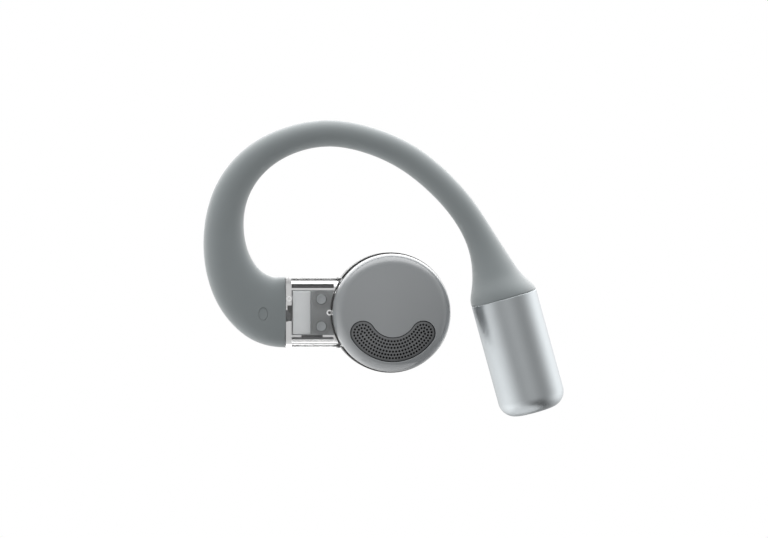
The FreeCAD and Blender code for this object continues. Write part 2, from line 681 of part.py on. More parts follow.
def build_parts():
    """Every node's name and its shape."""
    front, arch, rear = make_hook_skins()
    wire_run = HOOK_STATIONS[2:-4]
    wire = hook_rod(wire_run, WIRE_R, WIRE_OFFSET)
    lead_run = HOOK_STATIONS[ROOT_CORE_STATION + 1:-4]
    leads = Part.makeCompound([hook_rod(lead_run, LEAD_R, LEAD_OFFSET, s * 0.28) for s in (-1, 1)])
    tail_core = make_tail_core().cut(wire)
    return {
        "clear_shell": make_clear_shell(),
        "front_cover": make_front_cover(),
        "speaker_grille": make_speaker_grille(),
        "grille_cloth": make_grille_cloth(),
        "front_gasket": make_front_gasket(),
        "driver_basket": make_driver_basket(),
        "driver_yoke": make_driver_yoke(),
        "driver_magnet": make_driver_magnet(),
        "driver_pole_plate": make_driver_pole_plate(),
        "driver_diaphragm": make_driver_diaphragm(),
        "driver_surround": make_driver_surround(),
        "voice_coil": make_voice_coil(),
        "driver_vent_cloth": make_driver_vent_cloth(),
        "inner_frame": make_inner_frame(),
        "main_board": make_main_board(),
        "radio_chip": make_radio_chip(),
        "shield_can": make_shield_can(),
        "talk_microphone": make_microphone(MIC_PLACES[0]),
        "noise_microphone": make_microphone(MIC_PLACES[1]),
        "microphone_cloths": make_microphone_cloths(),
        "deco_disc": make_deco_disc(),
        "touch_pad": make_touch_pad(),
        "neck_carrier": make_neck_carrier(),
        "retention_magnet": make_retention_magnet(),
        "contact_upper": make_contact(1),
        "contact_lower": make_contact(-1),
        "contact_seals": make_contact_seals(),
        "locating_pins": make_locating_pins(),
        "pod_seal": make_pod_seal(),
        "neck_antenna": make_neck_antenna(),
        "neck_flex": make_neck_flex(),
        "hook_skin_front": front,
        "hook_skin_arch": arch,
        "hook_skin_rear": rear,
        "memory_wire": wire,
        "hook_leads": leads,
        "root_core": make_root_core(wire),
        "key_cap": make_key_cap(),
        "key_switch": make_key_switch(),
        "key_board": make_key_board(),
        "tail_core": tail_core,
        "barrel_shell": make_barrel_shell(),
        "barrel_seal": make_barrel_seal(),
        "battery_cell": make_battery_cell(),
        "battery_sleeve": make_battery_sleeve(),
        "cell_pad": make_cell_pad(),
        "protection_board": make_protection_board(),
        "cell_tabs": make_cell_tabs(),
    }


def main():
    """Write one STEP file for each piece."""
    os.makedirs("parts", exist_ok=True)
    for name, shape in build_parts().items():
        solids = len(shape.Solids)
        print(f"{name}: {solids} solid(s), {shape.Volume:.2f} mm3, valid {shape.isValid()}")
        shape.exportStep(f"parts/{name}.step")


main()
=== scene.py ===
"""Looks of the open-ear hook earphone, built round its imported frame.

Sizes are in millimetres and are turned into metres where a mesh is made. +X runs from the neck to
the battery barrel, +Z is up as worn and +Y points away from the head.
"""

import logging
import math
from collections.abc import Callable, Sequence
from dataclasses import dataclass, field
from enum import Enum

import bmesh
import bpy
import numpy as np
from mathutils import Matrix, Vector
from mathutils.geometry import delaunay_2d_cdt


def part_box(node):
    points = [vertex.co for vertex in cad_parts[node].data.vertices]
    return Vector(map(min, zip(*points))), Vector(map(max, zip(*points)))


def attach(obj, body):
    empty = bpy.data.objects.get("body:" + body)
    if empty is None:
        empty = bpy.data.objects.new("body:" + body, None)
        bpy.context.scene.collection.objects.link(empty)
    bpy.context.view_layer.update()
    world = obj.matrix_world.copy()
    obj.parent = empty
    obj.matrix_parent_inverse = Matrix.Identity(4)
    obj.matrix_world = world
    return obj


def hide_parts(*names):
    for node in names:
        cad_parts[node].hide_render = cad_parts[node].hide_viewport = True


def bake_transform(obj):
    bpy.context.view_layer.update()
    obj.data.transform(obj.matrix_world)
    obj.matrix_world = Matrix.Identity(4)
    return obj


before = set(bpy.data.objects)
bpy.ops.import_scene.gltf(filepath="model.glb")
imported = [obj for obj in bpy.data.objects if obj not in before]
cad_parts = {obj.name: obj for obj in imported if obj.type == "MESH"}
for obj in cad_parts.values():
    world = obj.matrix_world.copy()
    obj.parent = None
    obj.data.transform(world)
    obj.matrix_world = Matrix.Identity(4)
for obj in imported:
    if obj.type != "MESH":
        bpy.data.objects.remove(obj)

MM = 0.001
LOG = logging.getLogger("earphone")
Colour = tuple[float, float, float]
Rows = Sequence[Sequence[float]]


# --- finishes -----------------------------------------------------------------------------------


class Grain(Enum):
    """How a surface's fine relief is laid out."""

    MOULDED = "moulded"
    BLASTED = "blasted"
    WOVEN = "woven"
    SPUN = "spun"
    TRACED = "traced"
    WOUND = "wound"


@dataclass(frozen=True)
class Finish:
    """A finish with mottled colour, uneven roughness and a fine relief.

    Attributes:
        slot: The record's material slot.
        colour: Linear base colour.
        roughness: Mean roughness.
        metallic: 1 for bare metal.
        mottle: Share by which the colour wanders.
        mottle_size: Size of the colour patches, in millimetres.
        relief: Height of the fine relief, in millimetres.
        relief_size: Width of one grain, thread or groove, in millimetres.
        grain: Layout of the relief.
        specular: Strength of the dielectric reflection.
        coat: Weight of a clear lacquer.
        coat_roughness: Roughness of the lacquer.
        sheen: Weight of the soft bloom at grazing angles.
        sheen_roughness: Roughness of the bloom.
        transmission: 1 for clear plastic.
        ior: Refractive index.
        anisotropic: Stretch of the highlight on brushed metal.
        centre: Middle of a spun finish, x and z in millimetres.
        smear: Share by which the roughness wanders.
    """

    slot: str
    colour: Colour
    roughness: float = 0.5
    metallic: float = 0.0
    mottle: float = 0.05
    mottle_size: float = 2.5
    relief: float = 0.002
    relief_size: float = 0.12
    grain: Grain = Grain.MOULDED
    specular: float = 0.5
    coat: float = 0.0
    coat_roughness: float = 0.03
    sheen: float = 0.0
    sheen_roughness: float = 0.4
    transmission: float = 0.0
    ior: float = 1.5
    anisotropic: float = 0.0
    centre: tuple[float, float] = (0.0, 0.0)
    smear: float = 0.2

    def material(self) -> bpy.types.Material:
        """Returns this finish's material, made on first use."""
        name = f"{self.slot}_finish"
        found = bpy.data.materials.get(name)
        if found is not None:
            return found
        made = bpy.data.materials.new(name)
        made.use_nodes = True
        tree = made.node_tree
        shader = next(n for n in tree.nodes if n.type == "BSDF_PRINCIPLED")
        plain = {
            "Metallic": self.metallic,
            "IOR": self.ior,
            "Specular IOR Level": self.specular,
            "Coat Weight": self.coat,
            "Coat Roughness": self.coat_roughness,
            "Sheen Weight": self.sheen,
            "Sheen Roughness": self.sheen_roughness,
            "Transmission Weight": self.transmission,
            "Anisotropic": self.anisotropic,
        }
        for socket, value in plain.items():
            shader.inputs[socket].default_value = value
        nodes = NodeHand(tree)
        place = nodes.add("ShaderNodeTexCoord").outputs["Object"]
        patches = nodes.noise(place, self.mottle_size, detail=3)
        low = [c * (1 - self.mottle) for c in self.colour]
        high = [min(1.0, c * (1 + self.mottle)) for c in self.colour]
        colour = nodes.ramp(patches, [(0.3, low), (0.7, high)])
        nodes.link(colour, shader.inputs["Base Color"])
        smears = nodes.noise(place, self.mottle_size * 0.45, detail=4)
        spread = self.roughness * self.smear
        rough = nodes.map_range(smears, self.roughness - spread, self.roughness + spread)
        nodes.link(rough, shader.inputs["Roughness"])
        height = self._height(nodes, place)
        bump = nodes.add("ShaderNodeBump")
        bump.inputs["Strength"].default_value = 1.0
        bump.inputs["Distance"].default_value = self.relief * MM
        nodes.link(height, bump.inputs["Height"])
        nodes.link(bump.outputs["Normal"], shader.inputs["Normal"])
        return made

    def _height(self, nodes: "NodeHand", place: bpy.types.NodeSocket) -> bpy.types.NodeSocket:
        """Builds the relief.

        Args:
            nodes: The material's node hand.
            place: The object coordinates.

        Returns:
            A socket with the relief from 0 to 1.
        """
        if self.grain is Grain.WOVEN:
            return nodes.weave(place, self.relief_size)
        if self.grain is Grain.SPUN:
            return nodes.rings(place, self.relief_size, self.centre)
        if self.grain is Grain.TRACED:
            return nodes.cells(place, self.relief_size)
        if self.grain is Grain.WOUND:
            return nodes.bands(place, self.relief_size)
        detail = 2 if self.grain is Grain.BLASTED else 6
        return nodes.noise(place, self.relief_size, detail=detail)


class NodeHand:
    """Adds and links shader nodes in one tree."""

    def __init__(self, tree: bpy.types.NodeTree) -> None:
        """Keeps the tree that the nodes go in."""
        self.tree = tree

    def add(self, kind: str) -> bpy.types.Node:
        """Adds a node of a kind."""
        return self.tree.nodes.new(kind)

    def link(self, source: bpy.types.NodeSocket, target: bpy.types.NodeSocket) -> None:
        """Joins an output to an input."""
        self.tree.links.new(source, target)

    def math(self, operation: str, a: bpy.types.NodeSocket | float, b: bpy.types.NodeSocket | float = 0.0,
             clamp: bool = False) -> bpy.types.NodeSocket:
        """Adds a maths node on two sockets or numbers."""
        node = self.add("ShaderNodeMath")
        node.operation = operation
        node.use_clamp = clamp
        for socket, value in zip(node.inputs, (a, b)):
            if isinstance(value, (int, float)):
                socket.default_value = value
            else:
                self.link(value, socket)
        return node.outputs[0]

    def noise(self, place: bpy.types.NodeSocket, size: float, detail: float = 2.0) -> bpy.types.NodeSocket:
        """Adds noise whose features are about size millimetres wide."""
        node = self.add("ShaderNodeTexNoise")
        node.inputs["Scale"].default_value = 1 / (size * MM)
        node.inputs["Detail"].default_value = detail
        self.link(place, node.inputs["Vector"])
        return node.outputs["Fac"]

    def ramp(self, value: bpy.types.NodeSocket,
             stops: Sequence[tuple[float, Sequence[float]]]) -> bpy.types.NodeSocket:
        """Adds a colour ramp with stops of place and colour."""
        node = self.add("ShaderNodeValToRGB")
        elements = node.color_ramp.elements
        while len(elements) < len(stops):
            elements.new(0.5)
        for element, (place, colour) in zip(elements, stops):
            element.position = place
            element.color = (*colour, 1.0)
        self.link(value, node.inputs["Fac"])
        return node.outputs["Color"]

    def mix(self, kind: str, a: bpy.types.NodeSocket, b: bpy.types.NodeSocket) -> bpy.types.NodeSocket:
        """Blends two colours fully, by a blend kind such as ADD or MULTIPLY."""
        node = self.add("ShaderNodeMix")
        node.data_type = "RGBA"
        node.blend_type = kind
        node.inputs[0].default_value = 1.0
        self.link(a, node.inputs[6])
        self.link(b, node.inputs[7])
        return node.outputs[2]

    def map_range(self, value: bpy.types.NodeSocket, low: float, high: float,
                  start: float = 0.3, end: float = 0.7) -> bpy.types.NodeSocket:
        """Maps a value from start..end to low..high."""
        node = self.add("ShaderNodeMapRange")
        for name, number in (("From Min", start), ("From Max", end), ("To Min", low), ("To Max", high)):
            node.inputs[name].default_value = number
        self.link(value, node.inputs["Value"])
        return node.outputs["Result"]

    def wave(self, place: bpy.types.NodeSocket, size: float, axis: str, rings: bool = False,
             distortion: float = 0.0) -> bpy.types.NodeSocket:
        """Adds sine bands or rings, size millimetres from crest to crest."""
        node = self.add("ShaderNodeTexWave")
        node.wave_type = "RINGS" if rings else "BANDS"
        if rings:
            node.rings_direction = axis
        else:
            node.bands_direction = axis
        node.inputs["Scale"].default_value = math.pi / 10 / (size * MM)
        node.inputs["Distortion"].default_value = distortion
        self.link(place, node.inputs["Vector"])
        return node.outputs["Fac"]

    def weave(self, place: bpy.types.NodeSocket, size: float) -> bpy.types.NodeSocket:
        """Crosses two sets of threads."""
        warp = self.wave(place, size, "X", distortion=0.3)
        weft = self.wave(place, size, "Z", distortion=0.3)
        return self.math("MAXIMUM", warp, weft)

    def rings(self, place: bpy.types.NodeSocket, size: float,
              centre: tuple[float, float]) -> bpy.types.NodeSocket:
        """Fine turned rings about an axis along Y."""
        shift = self.add("ShaderNodeMapping")
        shift.inputs["Location"].default_value = (-centre[0] * MM, 0.0, -centre[1] * MM)
        self.link(place, shift.inputs["Vector"])
        return self.wave(shift.outputs["Vector"], size, "Y", rings=True, distortion=0.4)

    def cells(self, place: bpy.types.NodeSocket, size: float) -> bpy.types.NodeSocket:
        """Square-cornered patches like the tracks of a circuit board."""
        node = self.add("ShaderNodeTexVoronoi")
        node.distance = "CHEBYCHEV"
        node.inputs["Scale"].default_value = 1 / (size * MM)
        self.link(place, node.inputs["Vector"])
        return self.math("GREATER_THAN", node.outputs["Distance"], 0.32)

    def bands(self, place: bpy.types.NodeSocket, size: float) -> bpy.types.NodeSocket:
        """Turns of wire wound round an axis along Y."""
        return self.wave(place, size, "Y")


POD_CENTRE = (8.4, -23.35)


class Finishes:
    """Every finish of the earphone."""

    silicone = Finish("silicone", (0.222, 0.250, 0.257), 0.62, mottle=0.015, mottle_size=4.0, relief=0.003,
                      relief_size=0.09, specular=0.42, sheen=0.58, sheen_roughness=0.62, smear=0.08)
    cover = Finish("cover_gloss", (0.30, 0.315, 0.325), 0.3, mottle=0.008, mottle_size=5.0, relief=0.0002,
                   relief_size=0.25, coat=1.0, coat_roughness=0.04, smear=0.05)
    grille = Finish("grille_steel", (0.22, 0.225, 0.23), 0.34, metallic=0.85, mottle=0.04, mottle_size=1.2,
                    relief=0.002, relief_size=0.07, grain=Grain.BLASTED, smear=0.1)
    barrel = Finish("barrel_aluminium", (0.50, 0.53, 0.545), 0.38, metallic=1.0, mottle=0.01, mottle_size=3.5,
                    relief=0.0008, relief_size=0.05, grain=Grain.BLASTED, smear=0.03)
    clear = Finish("clear_plastic", (0.99, 0.995, 0.995), 0.03, mottle=0.01, relief=0.0003, relief_size=0.4,
                   transmission=1.0, ior=1.52, specular=0.25)
    cloth = Finish("cloth_black", (0.005, 0.005, 0.005), 0.9, mottle=0.2, mottle_size=0.6, relief=0.02,
                   relief_size=0.06, grain=Grain.WOVEN, specular=0.2)
    foam = Finish("foam_black", (0.012, 0.012, 0.012), 0.9, mottle=0.2, mottle_size=0.4, relief=0.03,
                  relief_size=0.12)
    moulded = Finish("frame_plastic", (0.17, 0.18, 0.185), 0.5, mottle=0.06, mottle_size=1.5, relief=0.004,
                     relief_size=0.08)
    plated = Finish("plated_steel", (0.62, 0.62, 0.6), 0.3, metallic=1.0, mottle=0.05, mottle_size=0.8,
                    relief=0.002, relief_size=0.1)
    magnet = Finish("magnet_nickel", (0.93, 0.95, 0.96), 0.35, metallic=0.85, mottle=0.015, mottle_size=1.5,
                    relief=0.0006, relief_size=0.08, grain=Grain.BLASTED, smear=0.06)
    film = Finish("diaphragm_film", (0.06, 0.06, 0.065), 0.35, mottle=0.1, relief=0.003, relief_size=0.3)
    rubber = Finish("surround_rubber", (0.022, 0.022, 0.022), 0.6, mottle=0.1, relief=0.002)
    copper = Finish("copper", (0.62, 0.25, 0.11), 0.3, metallic=1.0, mottle=0.08, relief=0.02,
                    relief_size=0.06, grain=Grain.WOUND)
    board = Finish("board_black", (0.012, 0.022, 0.018), 0.4, mottle=0.15, mottle_size=1.0, relief=0.012,
                   relief_size=0.45, grain=Grain.TRACED)
    chip = Finish("chip_black", (0.02, 0.02, 0.022), 0.55, mottle=0.1, relief=0.004, relief_size=0.05)
    deco = Finish("deco_metal", (0.36, 0.38, 0.39), 0.34, metallic=0.8, mottle=0.01, relief=0.001,
                  relief_size=0.16, grain=Grain.SPUN, centre=POD_CENTRE, smear=0.05)
    carrier = Finish("carrier_plastic", (0.46, 0.48, 0.49), 0.45, mottle=0.02, mottle_size=1.2,
                     relief=0.002, relief_size=0.06)
    contact = Finish("contact_metal", (0.42, 0.44, 0.45), 0.45, metallic=0.6, mottle=0.02, mottle_size=0.8,
                     relief=0.0008, relief_size=0.05, grain=Grain.BLASTED, smear=0.06)
    pin = Finish("pin_steel", (0.97, 0.97, 0.97), 0.2, metallic=1.0, mottle=0.02, relief=0.001)
    antenna = Finish("antenna_black", (0.010, 0.011, 0.012), 0.35, mottle=0.2, mottle_size=0.8, relief=0.003,
                     relief_size=0.2)
    flex = Finish("flex_grey", (0.10, 0.105, 0.11), 0.4, mottle=0.08, mottle_size=0.8, relief=0.004,
                  relief_size=0.25, grain=Grain.TRACED)
    wire = Finish("wire_metal", (0.55, 0.54, 0.52), 0.3, metallic=1.0, mottle=0.04, relief=0.002,
                  relief_size=0.05)
    lead = Finish("lead_insulation", (0.32, 0.02, 0.02), 0.4, mottle=0.06, relief=0.002)
    can = Finish("cell_can", (0.6, 0.6, 0.58), 0.3, metallic=1.0, mottle=0.04, relief=0.002)
    sleeve = Finish("sleeve_film", (0.03, 0.09, 0.26), 0.3, mottle=0.05, relief=0.004, relief_size=0.5,
                    coat=0.3)


CAD_FINISHES: dict[str, Finish] = {
    "clear_shell": Finishes.clear,
    "grille_cloth": Finishes.cloth,
    "front_gasket": Finishes.foam,
    "driver_basket": Finishes.moulded,
    "driver_yoke": Finishes.plated,
    "driver_magnet": Finishes.magnet,
    "driver_pole_plate": Finishes.plated,
    "driver_diaphragm": Finishes.film,
    "driver_surround": Finishes.rubber,
    "voice_coil": Finishes.copper,
    "driver_vent_cloth": Finishes.cloth,
    "inner_frame": Finishes.moulded,
    "main_board": Finishes.board,
    "radio_chip": Finishes.chip,
    "shield_can": Finishes.plated,
    "talk_microphone": Finishes.plated,
    "noise_microphone": Finishes.plated,
    "microphone_cloths": Finishes.cloth,
    "deco_disc": Finishes.deco,
    "touch_pad": Finishes.board,
    "neck_carrier": Finishes.carrier,
    "contact_seals": Finishes.rubber,
    "locating_pins": Finishes.pin,
    "pod_seal": Finishes.foam,
    "neck_antenna": Finishes.antenna,
    "neck_flex": Finishes.flex,
    "root_core": Finishes.moulded,
    "key_switch": Finishes.plated,
    "key_board": Finishes.board,
    "tail_core": Finishes.moulded,
    "barrel_seal": Finishes.rubber,
    "battery_cell": Finishes.can,
    "battery_sleeve": Finishes.sleeve,
    "cell_pad": Finishes.foam,
    "protection_board": Finishes.board,
    "cell_tabs": Finishes.plated,
}


# --- mesh tools ---------------------------------------------------------------------------------


def make_piece(name: str, points: np.ndarray, faces: Sequence[Sequence[int]], finish: Finish,
               sharp: float = 40.0) -> bpy.types.Object:
    """Makes a smooth-shaded object.

    Args:
        name: The piece's name.
        points: Corner places in millimetres.
        faces: Corner numbers of each face.
        finish: What it is made of.
        sharp: Angle in degrees from which an edge is shaded hard.

    Returns:
        The new object.
    """
    mesh = bpy.data.meshes.new(name)
    mesh.from_pydata([tuple(p) for p in np.asarray(points, float) * MM], [], [tuple(f) for f in faces])
    work = bmesh.new()
    work.from_mesh(mesh)
    bmesh.ops.recalc_face_normals(work, faces=work.faces)
    work.to_mesh(mesh)
    work.free()
    piece = bpy.data.objects.new(name, mesh)
    bpy.context.scene.collection.objects.link(piece)
    dress(piece, finish, sharp)
    return piece


def dress(piece: bpy.types.Object, finish: Finish, sharp: float = 40.0) -> None:
    """Gives a piece its material and smooth shading with hard edges above an angle in degrees."""
    piece.data.materials.clear()
    piece.data.materials.append(finish.material())
    piece.data.shade_smooth()
    piece.data.set_sharp_from_angle(angle=math.radians(sharp))


def settle(piece: bpy.types.Object, body: str, finish: Finish, *nodes: str) -> None:
    """Lets a piece ride on a body and hides the CAD nodes it stands for."""
    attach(piece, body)
    if nodes:
        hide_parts(*nodes)
    LOG.info("%s rides on %s, %d faces", piece.name, body, len(piece.data.polygons))


def stitch(rings: Sequence[np.ndarray], closed: bool = False) -> tuple[np.ndarray, list[list[int]]]:
    """Joins equal rings of points with quads and closes the ends.

    Args:
        rings: Rings with the same number of points, in order.
        closed: Whether the last ring joins the first, as in a torus.

    Returns:
        The points and the faces.
    """
    count = len(rings[0])
    faces: list[list[int]] = []
    pairs = list(zip(range(len(rings)), range(1, len(rings)))) + ([(len(rings) - 1, 0)] if closed else [])
    for a, b in pairs:
        for i in range(count):
            j = (i + 1) % count
            faces.append([a * count + i, a * count + j, b * count + j, b * count + i])
    if not closed:
        faces.append(list(range(count)))
        faces.append([(len(rings) - 1) * count + i for i in reversed(range(count))])
    return np.vstack(rings), faces


def turn(profile: Rows, origin: Sequence[float], axis: Sequence[float], count: int,
         closed: bool = False) -> tuple[np.ndarray, list[list[int]]]:
    """Turns a profile round an axis.

    Args:
        profile: Rows of radius and distance along the axis.
        origin: A point on the axis.
        axis: The axis's direction.
        count: Points in each ring.
        closed: Whether the profile is a closed loop.

    Returns:
        The points and the faces.
    """
    along = Vector(axis).normalized()
    side = along.orthogonal().normalized()
    other = along.cross(side)
    angles = [2 * math.pi * i / count for i in range(count)]
    rings = []
    for radius, distance in profile:
        middle = Vector(origin) + along * distance
        ring = [middle + (side * math.cos(a) + other * math.sin(a)) * radius for a in angles]
        rings.append(np.array([tuple(p) for p in ring]))
    return stitch(rings, closed)


def round_corners(corners: Rows, steps: int = 8) -> list[tuple[float, float]]:
    """Rounds the inner corners of an open or closed path.

    Args:
        corners: Rows of u, v and corner radius.
        steps: Points along each rounded corner.

    Returns:
        The path's points.
    """
    path: list[tuple[float, float]] = []
    for i, (u, v, radius) in enumerate(corners):
        if radius <= 0:
            path.append((u, v))
            continue
        here = Vector((u, v))
        before = (Vector(corners[i - 1][:2]) - here).normalized()
        after = (Vector(corners[(i + 1) % len(corners)][:2]) - here).normalized()
        half = before.angle(after) / 2
        centre = here + (before + after).normalized() * (radius / math.sin(half))
        first = here + before * (radius / math.tan(half)) - centre
        last = here + after * (radius / math.tan(half)) - centre
        swing = first.angle_signed(last)
        for k in range(steps + 1):
            angle = -swing * k / steps
            c, s = math.cos(angle), math.sin(angle)
            path.append((centre.x + first.x * c - first.y * s, centre.y + first.x * s + first.y * c))
    return path


def soften(piece: bpy.types.Object, width: float, segments: int = 3, angle: float = 30.0) -> None:
    """Rounds a piece's hard edges.

    Args:
        piece: The piece.
        width: Width of the rounding in millimetres.
        segments: Faces across the rounding.
        angle: Edges sharper than this many degrees are rounded.
    """
    work = bmesh.new()
    work.from_mesh(piece.data)
    hard = [e for e in work.edges if len(e.link_faces) == 2 and e.calc_face_angle(0.0) > math.radians(angle)]
    bmesh.ops.bevel(work, geom=hard, offset=width * MM, segments=segments, profile=0.5, affect="EDGES",
                    clamp_overlap=True)
    work.to_mesh(piece.data)
    work.free()
    piece.data.shade_smooth()
    piece.data.set_sharp_from_angle(angle=math.radians(50))


def carve(piece: bpy.types.Object, cutter: bpy.types.Object) -> None:
    """Cuts one mesh out of another and removes the cutter."""
    tool = piece.modifiers.new("carve", "BOOLEAN")
    tool.operation = "DIFFERENCE"
    tool.solver = "EXACT"
    tool.object = cutter
    cut = bpy.data.meshes.new_from_object(piece.evaluated_get(bpy.context.evaluated_depsgraph_get()))
    piece.modifiers.clear()
    piece.data = cut
    bpy.data.objects.remove(cutter)


def prism(name: str, outline: Rows, y0: float, y1: float, finish: Finish) -> bpy.types.Object:
    """Makes a prism along Y on an outline of x and z."""
    rings = [np.array([(x, y, z) for x, z in outline]) for y in (y0, y1)]
    points, faces = stitch(rings)
    return make_piece(name, points, faces, finish)


def oval(x: float, z: float, half_x: float, half_z: float, count: int = 48) -> list[tuple[float, float]]:
    """An ellipse's points in x and z."""
    angles = [2 * math.pi * i / count for i in range(count)]
    return [(x + half_x * math.cos(a), z + half_z * math.sin(a)) for a in angles]


def clamped_spline(knots: np.ndarray, values: np.ndarray, start: np.ndarray, end: np.ndarray,
                   places: np.ndarray) -> np.ndarray:
    """A smooth curve through values at knots, with given end slopes.

    Args:
        knots: Rising parameter of each value.
        values: One row per knot.
        start: Slope at the first knot.
        end: Slope at the last knot.
        places: Parameters to read the curve at.

    Returns:
        One row per place.
    """
    count = len(knots)
    step = np.diff(knots)
    matrix, right = np.zeros((count, count)), np.zeros_like(values)
    matrix[0, 0] = matrix[-1, -1] = 1.0
    right[0], right[-1] = start, end
    rise = np.diff(values, axis=0) / step[:, None]
    for i in range(1, count - 1):
        matrix[i, i - 1 : i + 2] = step[i], 2 * (step[i - 1] + step[i]), step[i - 1]
        right[i] = 3 * (rise[i - 1] * step[i] + rise[i] * step[i - 1])
    slopes = np.linalg.solve(matrix, right)
    cell = np.clip(np.searchsorted(knots, places, side="right") - 1, 0, count - 2)
    h = step[cell][:, None]
    t = ((places - knots[cell]) / step[cell])[:, None]
    a, b, sa, sb = values[cell], values[cell + 1], slopes[cell] * h, slopes[cell + 1] * h
    return (
        a * (2 * t**3 - 3 * t**2 + 1)
        + sa * (t**3 - 2 * t**2 + t)
        + b * (3 * t**2 - 2 * t**3)
        + sb * (t**3 - t**2)
    )


# --- ear hook -----------------------------------------------------------------------------------


@dataclass
class HookLine:
    """The hook's centre line with its section sizes.

    Attributes:
        stations: Rows of x, y, z, width in the hook's plane, depth along Y, squareness and heading.
        start_slope: Direction of travel at the neck.
        end_slope: Direction of travel at the barrel.
        count: Points round a section.
    """

    stations: Rows = (
        (-6.3, 0.30, -23.3, 9.9, 5.1, 3.2, 180),
        (-7.9, 0.30, -23.2, 9.75, 5.25, 3.0, 172),
        (-9.3, 0.30, -22.8, 9.35, 5.3, 2.8, 160),
        (-10.6, 0.30, -22.05, 8.8, 5.3, 2.6, 150),
        (-12.65, 0.25, -19.95, 7.7, 5.2, 2.4, 129),
        (-14.0, 0.20, -17.4, 6.8, 5.0, 2.2, 114),
        (-14.9, 0.10, -11.85, 5.6, 4.6, 2.0, 90),
        (-13.75, 0.0, -6.35, 4.85, 4.25, 2.0, 67),
        (-10.4, 0.0, -1.85, 4.3, 4.0, 2.0, 42),
        (-5.5, 0.0, 0.9, 3.85, 3.8, 2.0, 17),
        (0.0, 0.0, 1.85, 3.7, 3.7, 2.0, 0),
        (5.5, -0.1, 0.9, 3.7, 3.7, 2.0, -17),
        (10.7, -0.4, -1.4, 3.8, 3.75, 2.0, -31),
        (15.1, -1.0, -4.85, 3.8, 3.8, 2.0, -44),
        (18.8, -1.65, -9.1, 3.8, 3.8, 2.0, -55),
        (21.4, -2.2, -13.7, 4.4, 4.4, 2.0, -66),
        (22.85, -2.4, -17.35, 6.15, 6.15, 2.0, -74),
        (23.25, -2.4, -18.6, 7.05, 7.1, 2.0, -74.5),
        (23.65, -2.4, -19.7, 8.2, 8.3, 2.0, -74.5),
        (24.1, -2.4, -20.7, 9.2, 9.2, 2.0, -74.5),
        (24.35, -2.4, -21.3, 9.4, 9.4, 2.0, -74.5),
    )
    start_slope: tuple[float, float] = (-1.0, 0.0)
    end_slope: tuple[float, float] = (0.267, -0.964)
    count: int = 72
    knots: np.ndarray = field(init=False)
    rows: np.ndarray = field(init=False)

    def __post_init__(self) -> None:
        """Works out the distance along the hook at each station."""
        self.rows = np.array(self.stations, float)
        gaps = np.linalg.norm(np.diff(self.rows[:, :3], axis=0), axis=1)
        self.knots = np.concatenate([[0.0], np.cumsum(gaps)])

    @property
    def length(self) -> float:
        """The hook's length in millimetres."""
        return float(self.knots[-1])

    def read(self, places: np.ndarray) -> np.ndarray:
        """Reads x, y, z, width, depth, squareness and heading at distances along the hook."""
        start = np.array([self.start_slope[0], 0, self.start_slope[1], 0, 0, -0.1, -4.0])
        end = np.array([self.end_slope[0], 0, self.end_slope[1], 0, 0, 0, 0])
        return clamped_spline(self.knots, self.rows, start, end, np.asarray(places, float))

    def along(self, station: int) -> float:
        """The distance along the hook at a station."""
        return float(self.knots[station])

    def directions(self, places: np.ndarray) -> np.ndarray:
        """Unit directions square to the sections, as x and z."""
        headings = np.radians(self.read(places)[:, 6])
        return np.stack([np.cos(headings), np.sin(headings)], axis=1)

    def sections(self, places: np.ndarray, shrink: np.ndarray) -> list[np.ndarray]:
        """Section outlines at distances along the hook.

        Args:
            places: Distances along the hook.
            shrink: How far each outline is drawn in, in millimetres.

        Returns:
            One ring of points per distance.
        """
        rings = []
        turns = 2 * math.pi * np.arange(self.count) / self.count
        c, s = np.cos(turns), np.sin(turns)
        for row, (tx, tz), inset in zip(self.read(places), self.directions(places), shrink):
            x, y, z, width, depth, power = row[:6]
            power = max(power, 2.0)
            a = np.sign(c) * np.abs(c) ** (2 / power) * (width / 2 - inset)
            b = np.sign(s) * np.abs(s) ** (2 / power) * (depth / 2 - inset)
            rings.append(np.stack([x - tz * a, y + b, z + tx * a], axis=1))
        return rings

    def rod(self, places: np.ndarray, radius: float, offset: float, across: float,
            count: int = 12) -> list[np.ndarray]:
        """Rings of a round rod beside the centre line, offset along Y and across it."""
        rings = []
        turns = 2 * math.pi * np.arange(count) / count
        for row, (tx, tz) in zip(self.read(places), self.directions(places)):
            a = across + np.cos(turns) * radius
            b = offset + np.sin(turns) * radius
            rings.append(np.stack([row[0] - tz * a, row[1] + b, row[2] + tx * a], axis=1))
        return rings


